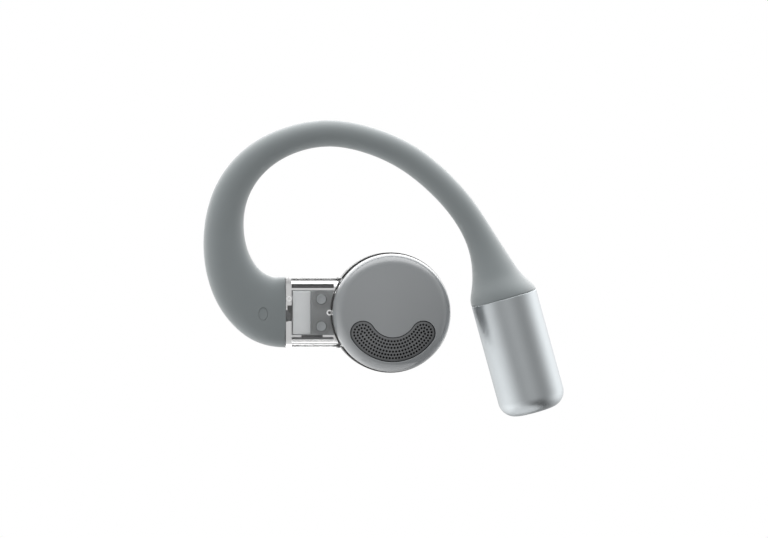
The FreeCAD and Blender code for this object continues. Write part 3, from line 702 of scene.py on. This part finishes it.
@dataclass
class EarHook:
    """The silicone ear hook with its wire, leads and key.

    Attributes:
        line: The centre line.
        ring_gap: Distance between rings of the silicone.
        lip: Rounding of the silicone's two ends.
        seam_station: Where the two silicone meshes meet, in the stiff middle of the arch.
        open_bend: Stations between which the opening joint bends the hook.
        sway_bend: Stations between which the sway joint twists it.
        wire_radius: Radius of the memory wire.
        wire_offset: The wire's place behind the centre line.
        lead_radius: Radius of a lead.
        lead_offset: The leads' place in front of the centre line.
        lead_spread: Half the distance between the leads.
        key_hole_gap: Gap between the key and the silicone.
    """

    line: HookLine = field(default_factory=HookLine)
    ring_gap: float = 0.34
    lip: float = 0.16
    seam_station: int = 10
    open_bend: tuple[int, int] = (7, 9)
    sway_bend: tuple[int, int] = (10, 12)
    wire_radius: float = 0.35
    wire_offset: float = 0.42
    lead_radius: float = 0.2
    lead_offset: float = -0.4
    lead_spread: float = 0.28
    key_hole_gap: float = 0.015

    def build(self) -> None:
        """Builds the silicone, the wire, the leads and the key."""
        seam = self.line.along(self.seam_station)
        front = self._skin("hook_skin_root", 0.0, seam)
        carve(front, self._key_cutter())
        dress(front, Finishes.silicone, 50)
        rear = self._skin("hook_skin_tail", seam, self.line.length)
        self._bend(front, "root", "arch", self.open_bend)
        self._bend(rear, "arch", "tail", self.sway_bend)
        for skin in (front, rear):
            LOG.info("%s: %d faces", skin.name, len(skin.data.polygons))
        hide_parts("hook_skin_front", "hook_skin_arch")
        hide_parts("hook_skin_rear")
        self._rods("memory_wire", self.wire_radius, self.wire_offset, (0.0,), 2, Finishes.wire)
        self._rods("hook_leads", self.lead_radius, self.lead_offset, (-self.lead_spread, self.lead_spread), 5,
                   Finishes.lead)
        self._key()

    def _skin(self, name: str, start: float, end: float) -> bpy.types.Object:
        """One stretch of silicone between two distances, with rounded outer ends."""
        count = max(2, round((end - start) / self.ring_gap))
        places = np.linspace(start, end, count)
        shrink = np.zeros(count)
        turning = np.linspace(0, math.pi / 2, 5)
        rise = self.lip * np.sin(turning)
        inset = self.lip * (1 - np.cos(turning))
        if start == 0.0:
            places = np.concatenate([(self.lip - rise)[::-1], places[1:]])
            shrink = np.concatenate([inset[::-1], shrink[1:]])
        if end == self.line.length:
            places = np.concatenate([places[:-1], end - self.lip + rise])
            shrink = np.concatenate([shrink[:-1], inset])
        order = np.argsort(places, kind="stable")
        points, faces = stitch(self.line.sections(places[order], shrink[order]))
        return make_piece(name, points, faces, Finishes.silicone, 50)

    def _bend(self, piece: bpy.types.Object, first: str, second: str, stations: tuple[int, int]) -> None:
        """Bakes a piece's placement into its mesh."""
        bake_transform(piece)

    def _rods(self, name: str, radius: float, offset: float, across: Sequence[float], first: int,
              finish: Finish) -> None:
        """Builds a wire or pair of leads inside the silicone, in two stretches."""
        seam = self.line.along(self.seam_station)
        start, end = self.line.along(first), self.line.along(-5)
        for suffix, low, high, bodies, bend in (
            ("root", start, seam, ("root", "arch"), self.open_bend),
            ("tail", seam, end, ("arch", "tail"), self.sway_bend),
        ):
            places = np.linspace(low, high, round((high - low) / 0.6))
            points, faces, shift = [], [], 0
            for side in across:
                made, quads = stitch(self.line.rod(places, radius, offset, side))
                points.append(made)
                faces += [[i + shift for i in quad] for quad in quads]
                shift += len(made)
            piece = make_piece(f"{name}_{suffix}", np.vstack(points), faces, finish, 60)
            self._bend(piece, *bodies, bend)
            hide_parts(name)

    def _key_outline(self, grow: float) -> list[tuple[float, float]]:
        """The key's oval in x and z, from its CAD box."""
        low, high = (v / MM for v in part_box("key_cap"))
        middle, half = (low + high) / 2, (high - low) / 2
        return oval(middle.x, middle.z, half.x + grow, half.z + grow)

    def _key_cutter(self) -> bpy.types.Object:
        """The oval hole for the key, down to its switch."""
        low, high = (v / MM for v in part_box("key_cap"))
        return prism("key_cutter", self._key_outline(self.key_hole_gap), low.y - 2, high.y + 0.6,
                     Finishes.silicone)

    def _key(self) -> None:
        """The oval key, slightly dished, with a rounded rim and a stem."""
        low, high = (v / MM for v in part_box("key_cap"))
        middle, half = (low + high) / 2, (high - low) / 2
        count = 48
        rim, dish = 0.05, 0.05
        rows = [(0.02, dish), (0.45, dish * 0.8), (0.75, dish * 0.3), (1 - rim / half.x, 0.0)]
        rows += [(1 - rim / half.x * (1 - math.sin(a)), rim * (1 - math.cos(a)))
                 for a in (0.5, 1.0, math.pi / 2)]
        rings = []
        for share, drop in rows:
            rings.append(np.array([(x, low.y + drop, z) for x, z in
                                   oval(middle.x, middle.z, half.x * share, half.z * share, count)]))
        for share, y in ((1.0, low.y + 0.85), (0.7, low.y + 0.85), (0.7, high.y)):
            rings.append(np.array([(x, y, z) for x, z in
                                   oval(middle.x, middle.z, half.x * share, half.z * share, count)]))
        key = make_piece("key_button", *stitch(rings), Finishes.silicone, 50)
        settle(key, "key", Finishes.silicone, "key_cap")


# --- speaker pod --------------------------------------------------------------------------------


@dataclass
class Dome:
    """A round face with a gentle dome and a rounded edge, seen along Y.

    Attributes:
        radius: Outer radius.
        crown: Depth of the middle of the face.
        edge: Radius of the rounded edge.
        dome: Radius of the dome.
    """

    radius: float
    crown: float
    edge: float
    dome: float = 30.0

    @property
    def edge_centre(self) -> float:
        """Depth of the centre of the rounded edge."""
        middle = self.crown + self.dome
        return middle - math.sqrt((self.dome - self.edge) ** 2 - (self.radius - self.edge) ** 2)

    def depth(self, r: np.ndarray) -> np.ndarray:
        """Depth of the face at distances from the axis."""
        r = np.asarray(r, float)
        join = (self.radius - self.edge) * self.dome / (self.dome - self.edge)
        face = self.crown + self.dome - np.sqrt(self.dome**2 - np.minimum(r, join) ** 2)
        out = np.clip(r - (self.radius - self.edge), 0, self.edge)
        rounded = self.edge_centre - np.sqrt(np.maximum(self.edge**2 - out**2, 0))
        return np.where(r <= join, face, rounded)

    def slope(self, r: np.ndarray) -> np.ndarray:
        """Rise of the depth per millimetre outwards."""
        return (self.depth(np.asarray(r) + 0.01) - self.depth(np.asarray(r) - 0.01)) / 0.02


@dataclass
class Crescent:
    """The smile-shaped speaker opening: four tangent arcs round the pod's axis.

    Attributes:
        shift: Its place beside the pod's axis.
        outer_radius: Radius of the long lower arc.
        outer_rise: Height of that arc's centre over the pod's axis.
        lobe_radius: Radius of the round ends.
        lobe_out: Distance of a round end beside the middle.
        tongue_rise: Height of the centre of the upper arc.
    """

    shift: float = 0.0
    outer_radius: float = 6.75
    outer_rise: float = -0.08
    lobe_radius: float = 1.73
    lobe_out: float = 4.22
    tongue_rise: float = -0.12

    def outline(self, inset: float, gap: float = 0.08) -> np.ndarray:
        """The outline as x and z from the pod's axis, starting at the bottom of the middle.

        Args:
            inset: How far inside the opening's edge the outline runs.
            gap: Distance between points.

        Returns:
            The points, in order round the opening.
        """
        lobe_z = self.outer_rise - math.sqrt((self.outer_radius - self.lobe_radius) ** 2 - self.lobe_out**2)
        tongue = math.hypot(self.lobe_out, lobe_z - self.tongue_rise) - self.lobe_radius
        low = math.atan2(lobe_z - self.outer_rise, self.lobe_out)
        up = math.atan2(self.tongue_rise - lobe_z, -self.lobe_out)
        inner = math.atan2(lobe_z - self.tongue_rise, self.lobe_out)
        arcs = (
            (0.0, self.outer_rise, self.outer_radius - inset, -math.pi / 2, low),
            (self.lobe_out, lobe_z, self.lobe_radius - inset, low, up),
            (0.0, self.tongue_rise, tongue + inset, inner, -math.pi / 2),
        )
        half: list[tuple[float, float]] = []
        for x, z, radius, start, end in arcs:
            steps = max(3, round(abs(end - start) * radius / gap))
            for k in range(steps):
                angle = start + (end - start) * k / steps
                half.append((x + radius * math.cos(angle), z + radius * math.sin(angle)))
        half.append((0.0, self.tongue_rise - tongue - inset))
        mirrored = [(-x, z) for x, z in reversed(half[1:-1])]
        points = np.array(half + mirrored)
        points[:, 0] += self.shift
        return points


def even_points(loop: np.ndarray, count: int, start: float) -> np.ndarray:
    """Points at even distances round a closed loop.

    Args:
        loop: The loop's points.
        count: How many points are wanted.
        start: Share of the loop's length at which the first lies.

    Returns:
        The points.
    """
    closed = np.vstack([loop, loop[:1]])
    lengths = np.concatenate([[0.0], np.cumsum(np.linalg.norm(np.diff(closed, axis=0), axis=1))])
    places = (start + np.arange(count) / count) % 1.0 * lengths[-1]
    return np.stack([np.interp(places, lengths, closed[:, k]) for k in (0, 1)], axis=1)


def loop_distance(points: np.ndarray, loop: np.ndarray) -> np.ndarray:
    """Distances from points to a closed loop, negative inside it.

    Args:
        points: Points to test.
        loop: The loop's points.

    Returns:
        One distance per point.
    """
    nxt = np.roll(loop, -1, axis=0)
    side = nxt - loop
    best = np.full(len(points), np.inf)
    inside = np.zeros(len(points), bool)
    for (x, z), (dx, dz), (nx, nz) in zip(loop, side, nxt):
        t = np.clip(((points[:, 0] - x) * dx + (points[:, 1] - z) * dz) / max(dx * dx + dz * dz, 1e-12), 0, 1)
        best = np.minimum(best, np.hypot(points[:, 0] - x - t * dx, points[:, 1] - z - t * dz))
        crosses = (z > points[:, 1]) != (nz > points[:, 1])
        if nz != z:
            inside ^= crosses & (points[:, 0] < (nx - x) * (points[:, 1] - z) / (nz - z) + x)
    return np.where(inside, -best, best)


@dataclass
class ThickSheet:
    """A sheet with holes, meshed in the plane and then lifted to a front and a back face.

    Attributes:
        loops: Closed loops of points that mesh edges follow.
        fill: Loose points inside the sheet.
        kept: Tells which points of the plane belong to the sheet.
        front: Depth of the front face at points.
        back: Depth of the back face at points.
    """

    loops: Sequence[np.ndarray]
    fill: np.ndarray
    kept: Callable[[np.ndarray], np.ndarray]
    front: Callable[[np.ndarray], np.ndarray]
    back: Callable[[np.ndarray], np.ndarray]

    def mesh(self, open_loop: int | None = None) -> tuple[np.ndarray, list[list[int]], np.ndarray, int]:
        """Meshes the sheet.

        Args:
            open_loop: A loop along which no wall is made, because other rings join there.

        Returns:
            Points, faces, the open loop's point numbers on the front, and the count of front points.
        """
        plane = np.vstack([*self.loops, self.fill])
        edges, start = [], 0
        for loop in self.loops:
            edges += [(start + i, start + (i + 1) % len(loop)) for i in range(len(loop))]
            start += len(loop)
        found = delaunay_2d_cdt([Vector(p) for p in plane], edges, [], 0, 1e-7)
        flat = np.array([tuple(v) for v in found[0]])
        place_of = {source: i for i, sources in enumerate(found[3]) for source in sources}
        corners = np.array([tuple(f) for f in found[2] if len(f) == 3])
        corners = corners[self.kept(flat[corners].mean(axis=1))]
        used: dict[tuple[int, int], int] = {}
        for a, b, c in corners:
            for edge in ((a, b), (b, c), (c, a)):
                used[edge] = used.get(edge, 0) + 1
        count = len(flat)
        skip: set[int] = set()
        ring = np.zeros(0, int)
        if open_loop is not None:
            first = sum(len(loop) for loop in self.loops[:open_loop])
            ring = np.array([place_of[first + i] for i in range(len(self.loops[open_loop]))])
            skip = set(ring.tolist())
        faces = [list(t) for t in corners] + [[c + count, b + count, a + count] for a, b, c in corners]
        for a, b in used:
            if (b, a) not in used and not (a in skip and b in skip):
                faces.append([b, a, a + count, b + count])
        front, back = self.front(flat), self.back(flat)
        points = np.vstack([
            np.stack([flat[:, 0], front, flat[:, 1]], axis=1),
            np.stack([flat[:, 0], back, flat[:, 1]], axis=1),
        ])
        return points, faces, ring, count


@dataclass
class SpeakerPod:
    """The round pod's glossy cover and perforated grille; its satin cap under the clear bowl stays a CAD node.

    Attributes:
        face: Outside of the cover.
        lining: Inside of the cover.
        opening: The speaker opening.
        rim: Depth of the cover's rim.
        bevel: Rounding of the opening's edge.
        join: Radius at which the meshed face meets the turned edge.
        segments: Points round the cover.
        recess: Depth of the grille plate under the cover's face.
        plate: Thickness of the grille plate.
        plate_gap: Gap round the grille plate.
        hole: Radius of a grille hole.
        hole_pitch: Distance between holes in a row.
        first_row: Distance of the first row of holes from the edge.
        row_pitch: Distance between rows.
        rows: Rows of holes on each side of the middle of the opening.
    """

    face: Dome = field(default_factory=lambda: Dome(8.26, -6.4, 2.0))
    lining: Dome = field(default_factory=lambda: Dome(7.5, -5.7, 1.3))
    opening: Crescent = field(default_factory=Crescent)
    rim: float = -1.7
    bevel: float = 0.12
    join: float = 7.4
    segments: int = 192
    recess: float = 0.3
    plate: float = 0.2
    plate_gap: float = 0.09
    hole: float = 0.162
    hole_pitch: float = 0.44
    first_row: float = 0.54
    row_pitch: float = 0.46
    rows: int = 3

    def build(self) -> None:
        """Builds the cover and the grille."""
        self._cover()
        self._grille()

    def _place(self, points: np.ndarray) -> np.ndarray:
        """Moves points from the pod's axis to their place."""
        return points + np.array([POD_CENTRE[0], 0.0, POD_CENTRE[1]])

    def _cover(self) -> None:
        """The domed cover: a meshed face with the opening, and a turned edge and spigot."""
        edge = self.opening.outline(0.0)
        turns = 2 * math.pi * np.arange(self.segments) / self.segments
        circle = np.stack([np.cos(turns), np.sin(turns)], axis=1) * self.join
        rims = [self.opening.outline(-self.bevel * share) for share in (0.0, 0.3, 0.65, 1.0, 1.8)]
        grid = [np.zeros((1, 2))]
        for i, radius in enumerate(np.arange(0.3, self.join - 0.15, 0.3)):
            count = max(8, int(2 * math.pi * radius / 0.3))
            angles = 2 * math.pi * (np.arange(count) + 0.5 * (i % 2)) / count
            grid.append(np.stack([np.cos(angles), np.sin(angles)], axis=1) * radius)
        fill = np.vstack(grid)
        fill = fill[loop_distance(fill, edge) > self.bevel * 1.8 + 0.08]
        fill = fill[np.linalg.norm(fill, axis=1) < self.join - 0.12]

        def front(p: np.ndarray) -> np.ndarray:
            near = np.clip(self.bevel - loop_distance(p, edge), 0, self.bevel)
            drop = self.bevel - np.sqrt(np.maximum(self.bevel**2 - near**2, 0))
            return self.face.depth(np.linalg.norm(p, axis=1)) + drop

        sheet = ThickSheet(
            [circle, *rims], fill, lambda p: loop_distance(p, edge) > 0, front,
            lambda p: self.lining.depth(np.linalg.norm(p, axis=1)),
        )
        points, faces, ring, count = sheet.mesh(open_loop=0)
        unit = circle / self.join
        rings = [np.stack([unit[:, 0] * r, np.full(self.segments, y), unit[:, 1] * r], axis=1)
                 for r, y in self._edge_profile()]
        start = len(points)
        points = np.vstack([points, *rings])
        chain = [ring] + [start + self.segments * k + np.arange(self.segments) for k in range(len(rings))]
        chain.append(ring + count)
        for a, b in zip(chain, chain[1:]):
            for i in range(self.segments):
                j = (i + 1) % self.segments
                faces.append([int(a[i]), int(a[j]), int(b[j]), int(b[i])])
        used = sorted({i for f in faces for i in f})
        renumber = {old: new for new, old in enumerate(used)}
        faces = [[renumber[i] for i in f] for f in faces]
        flat = points[used]
        cover = make_piece("pod_cover", self._place(flat), faces, Finishes.cover, 50)
        self._true_normals(cover, flat, edge, set(range(count)), used)
        settle(cover, "root", Finishes.cover, "front_cover")

    def _edge_profile(self) -> list[tuple[float, float]]:
        """Radius and depth round the cover's edge, from its face to its lining."""
        rows = []
        start = math.asin((self.join - self.face.radius + self.face.edge) / self.face.edge)
        for k in range(1, 11):
            angle = start + (math.pi / 2 - start) * k / 10
            rows.append((self.face.radius - self.face.edge + self.face.edge * math.sin(angle),
                         self.face.edge_centre - self.face.edge * math.cos(angle)))
        rows += [(8.26, -2.8), (8.26, -1.85), (8.22, -1.75), (8.1, self.rim), (7.6, self.rim)]
        rows += [(7.6, -0.9), (7.05, -0.9), (7.05, -2.2), (7.5, -2.2), (7.5, self.lining.edge_centre)]
        rows.append((7.48, float(self.lining.depth(np.array([7.48]))[0])))
        return rows

    def _true_normals(self, cover: bpy.types.Object, flat: np.ndarray, edge: np.ndarray, front: set[int],
                      used: Sequence[int]) -> None:
        """Gives the glossy face the dome's exact normals, so that reflections run smoothly.

        Args:
            cover: The cover.
            flat: Its points about the pod's axis.
            edge: The opening's edge.
            front: Point numbers of the front face before unused points were dropped.
            used: Which of those points the mesh keeps, in order.
        """
        radius = np.hypot(flat[:, 0], flat[:, 2])
        slope = self.face.slope(radius)
        away = loop_distance(flat[:, [0, 2]], edge) > self.bevel * 0.98
        normals = np.zeros_like(flat)
        safe = np.maximum(radius, 1e-6)
        normals[:, 0], normals[:, 1], normals[:, 2] = flat[:, 0] / safe * slope, -1.0, flat[:, 2] / safe * slope
        normals /= np.linalg.norm(normals, axis=1)[:, None]
        on_face = np.array([i in front for i in used]) & away
        normals[~on_face] = 0.0
        cover.data.normals_split_custom_set_from_vertices([tuple(n) for n in normals])

    def _holes(self) -> np.ndarray:
        """Centres of the grille's holes, in rings that follow the opening's edge."""
        centres = []
        for row in range(self.rows):
            loop = self.opening.outline(self.first_row + self.row_pitch * row, gap=0.03)
            length = np.linalg.norm(np.diff(np.vstack([loop, loop[:1]]), axis=0), axis=1).sum()
            count = int(length / self.hole_pitch) // 2 * 2 + 1
            centres.append(even_points(loop, count, 0.0 if row != 1 else 0.5))
        return np.vstack(centres)

    def _grille(self) -> None:
        """The domed plate with its round holes."""
        edge = self.opening.outline(self.plate_gap)
        inner = self.opening.outline(self.plate_gap + 0.06)
        centres = self._holes()
        turns = 2 * math.pi * np.arange(14) / 14
        circle = np.stack([np.cos(turns), np.sin(turns)], axis=1) * self.hole
        holes = [centre + circle for centre in centres]
        step = 0.2
        x, z = np.meshgrid(np.arange(-6.5, 6.5, step), np.arange(-7.2, 0, step))
        fill = np.stack([x.ravel(), z.ravel()], axis=1)
        fill = fill[loop_distance(fill, inner) < -0.05]
        gaps = np.linalg.norm(fill[:, None] - centres[None], axis=2).min(axis=1)
        fill = fill[gaps > self.hole + 0.05]

        def kept(p: np.ndarray) -> np.ndarray:
            near = np.linalg.norm(p[:, None] - centres[None], axis=2).min(axis=1)
            return (loop_distance(p, edge) < 0) & (near > self.hole * 0.9)

        def depth(p: np.ndarray) -> np.ndarray:
            return self.face.depth(np.linalg.norm(p, axis=1)) + self.recess

        def front(p: np.ndarray) -> np.ndarray:
            return depth(p) + 0.03 * (np.abs(loop_distance(p, edge)) < 0.02)

        sheet = ThickSheet([edge, inner, *holes], fill, kept, front, lambda p: depth(p) + self.plate)
        points, faces, _, _ = sheet.mesh()
        used = sorted({i for f in faces for i in f})
        renumber = {old: new for new, old in enumerate(used)}
        plate = [[renumber[i] for i in f] for f in faces]
        grille = make_piece("grille_plate", self._place(points[used]), plate, Finishes.grille, 40)
        settle(grille, "root", Finishes.grille, "speaker_grille")


# --- neck ---------------------------------------------------------------------------------------


@dataclass
class ClearNeck:
    """What shows through the clear neck: magnet and charging contacts.

    Attributes:
        magnet_bevel: Width of the magnet's bevel.
        pad_edge: Rounding of a contact pad.
        pad_dish: Depth of the turned dish in a pad.
    """

    magnet_bevel: float = 0.16
    pad_edge: float = 0.07
    pad_dish: float = 0.04

    def build(self) -> None:
        """Builds the magnet and the two contacts."""
        low, high = (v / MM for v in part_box("retention_magnet"))
        outline = [(low.x, low.z), (high.x, low.z), (high.x, high.z), (low.x, high.z)]
        magnet = prism("magnet_block", outline, low.y, high.y, Finishes.magnet)
        soften(magnet, self.magnet_bevel, 3)
        settle(magnet, "root", Finishes.magnet, "retention_magnet")
        for name in ("contact_upper", "contact_lower"):
            self._contact(name)

    def _contact(self, node: str) -> None:
        """One contact: a turned pad on a stem."""
        low, high = (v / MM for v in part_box(node))
        middle, radius = (low + high) / 2, (high.x - low.x) / 2
        profile = [(0.01, self.pad_dish), (radius * 0.55, self.pad_dish), (radius * 0.68, 0.0)]
        profile += [(radius - self.pad_edge * (1 - math.sin(a)), self.pad_edge * (1 - math.cos(a)))
                    for a in np.linspace(0, math.pi / 2, 5)]
        profile += [(radius, 0.8), (0.45, 0.8), (0.45, high.y - low.y)]
        points, faces = turn(profile, (middle.x, low.y, middle.z), (0, 1, 0), 48)
        pad = make_piece(f"{node}_pad", points, faces, Finishes.contact, 40)
        settle(pad, "root", Finishes.contact, node)


# --- battery barrel -----------------------------------------------------------------------------


@dataclass
class BatteryBarrel:
    """The satin aluminium can at the end of the hook.

    Attributes:
        top: Middle of the open end.
        lean: Angle of the axis below +X, in degrees.
        radius: Outer radius.
        length: Length from the silicone to the closed end.
        wall: Wall thickness.
        edge: Rounding of the closed end.
        lip: Small chamfer of the open end.
    """

    top: tuple[float, float, float] = (24.35, -2.4, -21.3)
    lean: float = 74.5
    radius: float = 4.7
    length: float = 16.55
    wall: float = 0.45
    edge: float = 2.3
    lip: float = 0.07

    def build(self) -> None:
        """Builds the can."""
        inside, floor = self.radius - self.wall, self.length - self.wall
        outer = round_corners([(self.radius - self.lip, 0.0, 0), (self.radius, self.lip, 0),
                               (self.radius, self.length, self.edge), (0.05, self.length, 0)], 14)
        inner = round_corners([(0.05, floor, 0), (inside, floor, self.edge - self.wall), (inside, 0.0, 0)], 8)
        sides = [(self.radius, self.length * share) for share in (0.2, 0.4, 0.6, 0.75)]
        profile = outer[:2] + sides + outer[2:] + inner
        angle = math.radians(self.lean)
        points, faces = turn(profile, self.top, (math.cos(angle), 0, -math.sin(angle)), 160, closed=True)
        can = make_piece("barrel_can", points, faces, Finishes.barrel, 40)
        settle(can, "tail", Finishes.barrel, "barrel_shell")


# --- studio -------------------------------------------------------------------------------------


@dataclass
class Studio:
    """A pale floor, soft studio light and the camera.

    Attributes:
        floor_drop: Height of the floor under the origin, in metres.
        floor_radius: Radius of the floor, in metres.
        aim: What the camera looks at, in metres.
        distance: Camera distance in metres.
        azimuth: Camera's place round the object, in degrees.
        elevation: Camera's height, in degrees.
        view_width: Width that the picture covers at the aim, in metres.
        strength: Brightness of the surroundings.
        walls: Bearing in degrees and brightness of the walls.
        wall_fade: Rise of the view and share of the walls' brightness.
        roof_aim: Where the roof light is.
        roof: Closeness to that place and brightness.
        fill_aim: Where the soft fill light is.
        fill: Closeness to that place and brightness.
    """

    floor_drop: float = 0.3
    floor_radius: float = 0.166
    aim: tuple[float, float, float] = (0.00763, 0.0, -0.01723)
    distance: float = 0.38
    azimuth: float = -5.0
    elevation: float = 0.0
    view_width: float = 0.1083
    strength: float = 3.2
    walls: Rows = ((-180, 0.12), (-160, 0.25), (-140, 0.16), (-120, 0.10), (-100, 0.12), (-80, 0.14),
                   (-60, 0.15), (-40, 0.12), (-20, 0.19), (0, 0.25), (20, 0.17), (40, 0.12),
                   (60, 0.16), (80, 0.37), (100, 0.57), (120, 0.57), (140, 0.40), (160, 0.25), (180, 0.12))
    wall_fade: Rows = ((-1.0, 0.0), (-0.8, 0.01), (-0.55, 0.37), (-0.3, 0.92), (0.0, 1.0), (0.3, 0.92),
                       (0.55, 0.37), (0.8, 0.01))
    roof_aim: tuple[float, float, float] = (0.0, 0.35, 1.0)
    roof: Rows = ((0.25, 0.0), (0.5, 0.09), (0.75, 0.97), (1.0, 0.92))
    fill_aim: tuple[float, float, float] = (-0.75, 0.2, -0.9)
    fill: Rows = ((0.35, 0.0), (0.8, 0.3), (1.0, 0.55))

    def build(self) -> None:
        """Builds the floor, the light and the camera."""
        self._floor()
        self._surroundings()
        self._camera()
        bpy.context.scene.view_settings.view_transform = "Standard"

    def _floor(self) -> None:
        """A plain pale round floor."""
        mesh = bpy.data.meshes.new("floor")
        work = bmesh.new()
        bmesh.ops.create_circle(work, cap_ends=True, segments=96, radius=self.floor_radius)
        work.to_mesh(mesh)
        work.free()
        floor = bpy.data.objects.new("floor", mesh)
        floor.location = (0, 0, -self.floor_drop)
        bpy.context.scene.collection.objects.link(floor)
        material = bpy.data.materials.new("floor_pale")
        material.use_nodes = True
        shader = next(n for n in material.node_tree.nodes if n.type == "BSDF_PRINCIPLED")
        shader.inputs["Base Color"].default_value = (0.55, 0.55, 0.55, 1)
        shader.inputs["Roughness"].default_value = 0.9
        mesh.materials.append(material)

    def _surroundings(self) -> None:
        """Soft walls whose brightness differs by bearing, a roof, a fill light and a white background."""
        world = bpy.data.worlds.new("studio")
        bpy.context.scene.world = world
        world.use_nodes = True
        tree = world.node_tree
        tree.nodes.clear()
        nodes = NodeHand(tree)
        split = nodes.add("ShaderNodeSeparateXYZ")
        place = nodes.add("ShaderNodeTexCoord").outputs["Generated"]
        nodes.link(place, split.inputs[0])
        x, y, z = split.outputs
        bearing = nodes.math("ARCTAN2", x, nodes.math("MULTIPLY", y, -1.0))
        share = nodes.math("ADD", nodes.math("DIVIDE", bearing, 2 * math.pi), 0.5)
        around = nodes.ramp(share, [(a / 360 + 0.5, (v, v, v)) for a, v in self.walls])
        level = nodes.math("ADD", nodes.math("MULTIPLY", z, 0.5), 0.5)
        band = nodes.ramp(level, [(p / 2 + 0.5, (v, v, v)) for p, v in self.wall_fade])
        both = nodes.mix("MULTIPLY", around, band)
        for place_of_light, rows in ((self.roof_aim, self.roof), (self.fill_aim, self.fill)):
            aim = nodes.add("ShaderNodeVectorMath")
            aim.operation = "DOT_PRODUCT"
            aim.inputs[1].default_value = Vector(place_of_light).normalized()
            nodes.link(place, aim.inputs[0])
            glow = nodes.ramp(aim.outputs["Value"], [(p, (v, v, v)) for p, v in rows])
            both = nodes.mix("ADD", both, glow)
        lit = nodes.add("ShaderNodeBackground")
        lit.inputs["Strength"].default_value = self.strength
        nodes.link(both, lit.inputs["Color"])
        plain = nodes.add("ShaderNodeBackground")
        plain.inputs["Color"].default_value = (1, 1, 1, 1)
        path = nodes.add("ShaderNodeLightPath")
        choose = nodes.add("ShaderNodeMixShader")
        nodes.link(path.outputs["Is Camera Ray"], choose.inputs["Fac"])
        nodes.link(lit.outputs[0], choose.inputs[1])
        nodes.link(plain.outputs[0], choose.inputs[2])
        nodes.link(choose.outputs[0], nodes.add("ShaderNodeOutputWorld").inputs["Surface"])

    def _camera(self) -> None:
        """The camera, level with the object and slightly to its left."""
        data = bpy.data.cameras.new("camera")
        data.sensor_width = 36.0
        data.lens = data.sensor_width * self.distance / self.view_width
        data.clip_start, data.clip_end = 0.01, 50.0
        camera = bpy.data.objects.new("camera", data)
        a, e = math.radians(self.azimuth), math.radians(self.elevation)
        back = Vector((math.sin(a) * math.cos(e), -math.cos(a) * math.cos(e), math.sin(e)))
        camera.location = Vector(self.aim) + back * self.distance
        camera.rotation_euler = (-back).to_track_quat("-Z", "Y").to_euler()
        bpy.context.scene.collection.objects.link(camera)
        bpy.context.scene.camera = camera


# --- assembly -----------------------------------------------------------------------------------


def dress_frame() -> None:
    """Gives every CAD node that stays in view its finish."""
    for name, finish in CAD_FINISHES.items():
        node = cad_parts[name]
        dress(node, finish, 30)
        LOG.info("%s: %s", name, finish.slot)


def main() -> None:
    logging.basicConfig(level=logging.INFO, format="%(message)s")
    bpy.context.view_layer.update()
    dress_frame()
    SpeakerPod().build()
    ClearNeck().build()
    EarHook().build()
    BatteryBarrel().build()
    Studio().build()


if __name__ == "__main__":
    main()
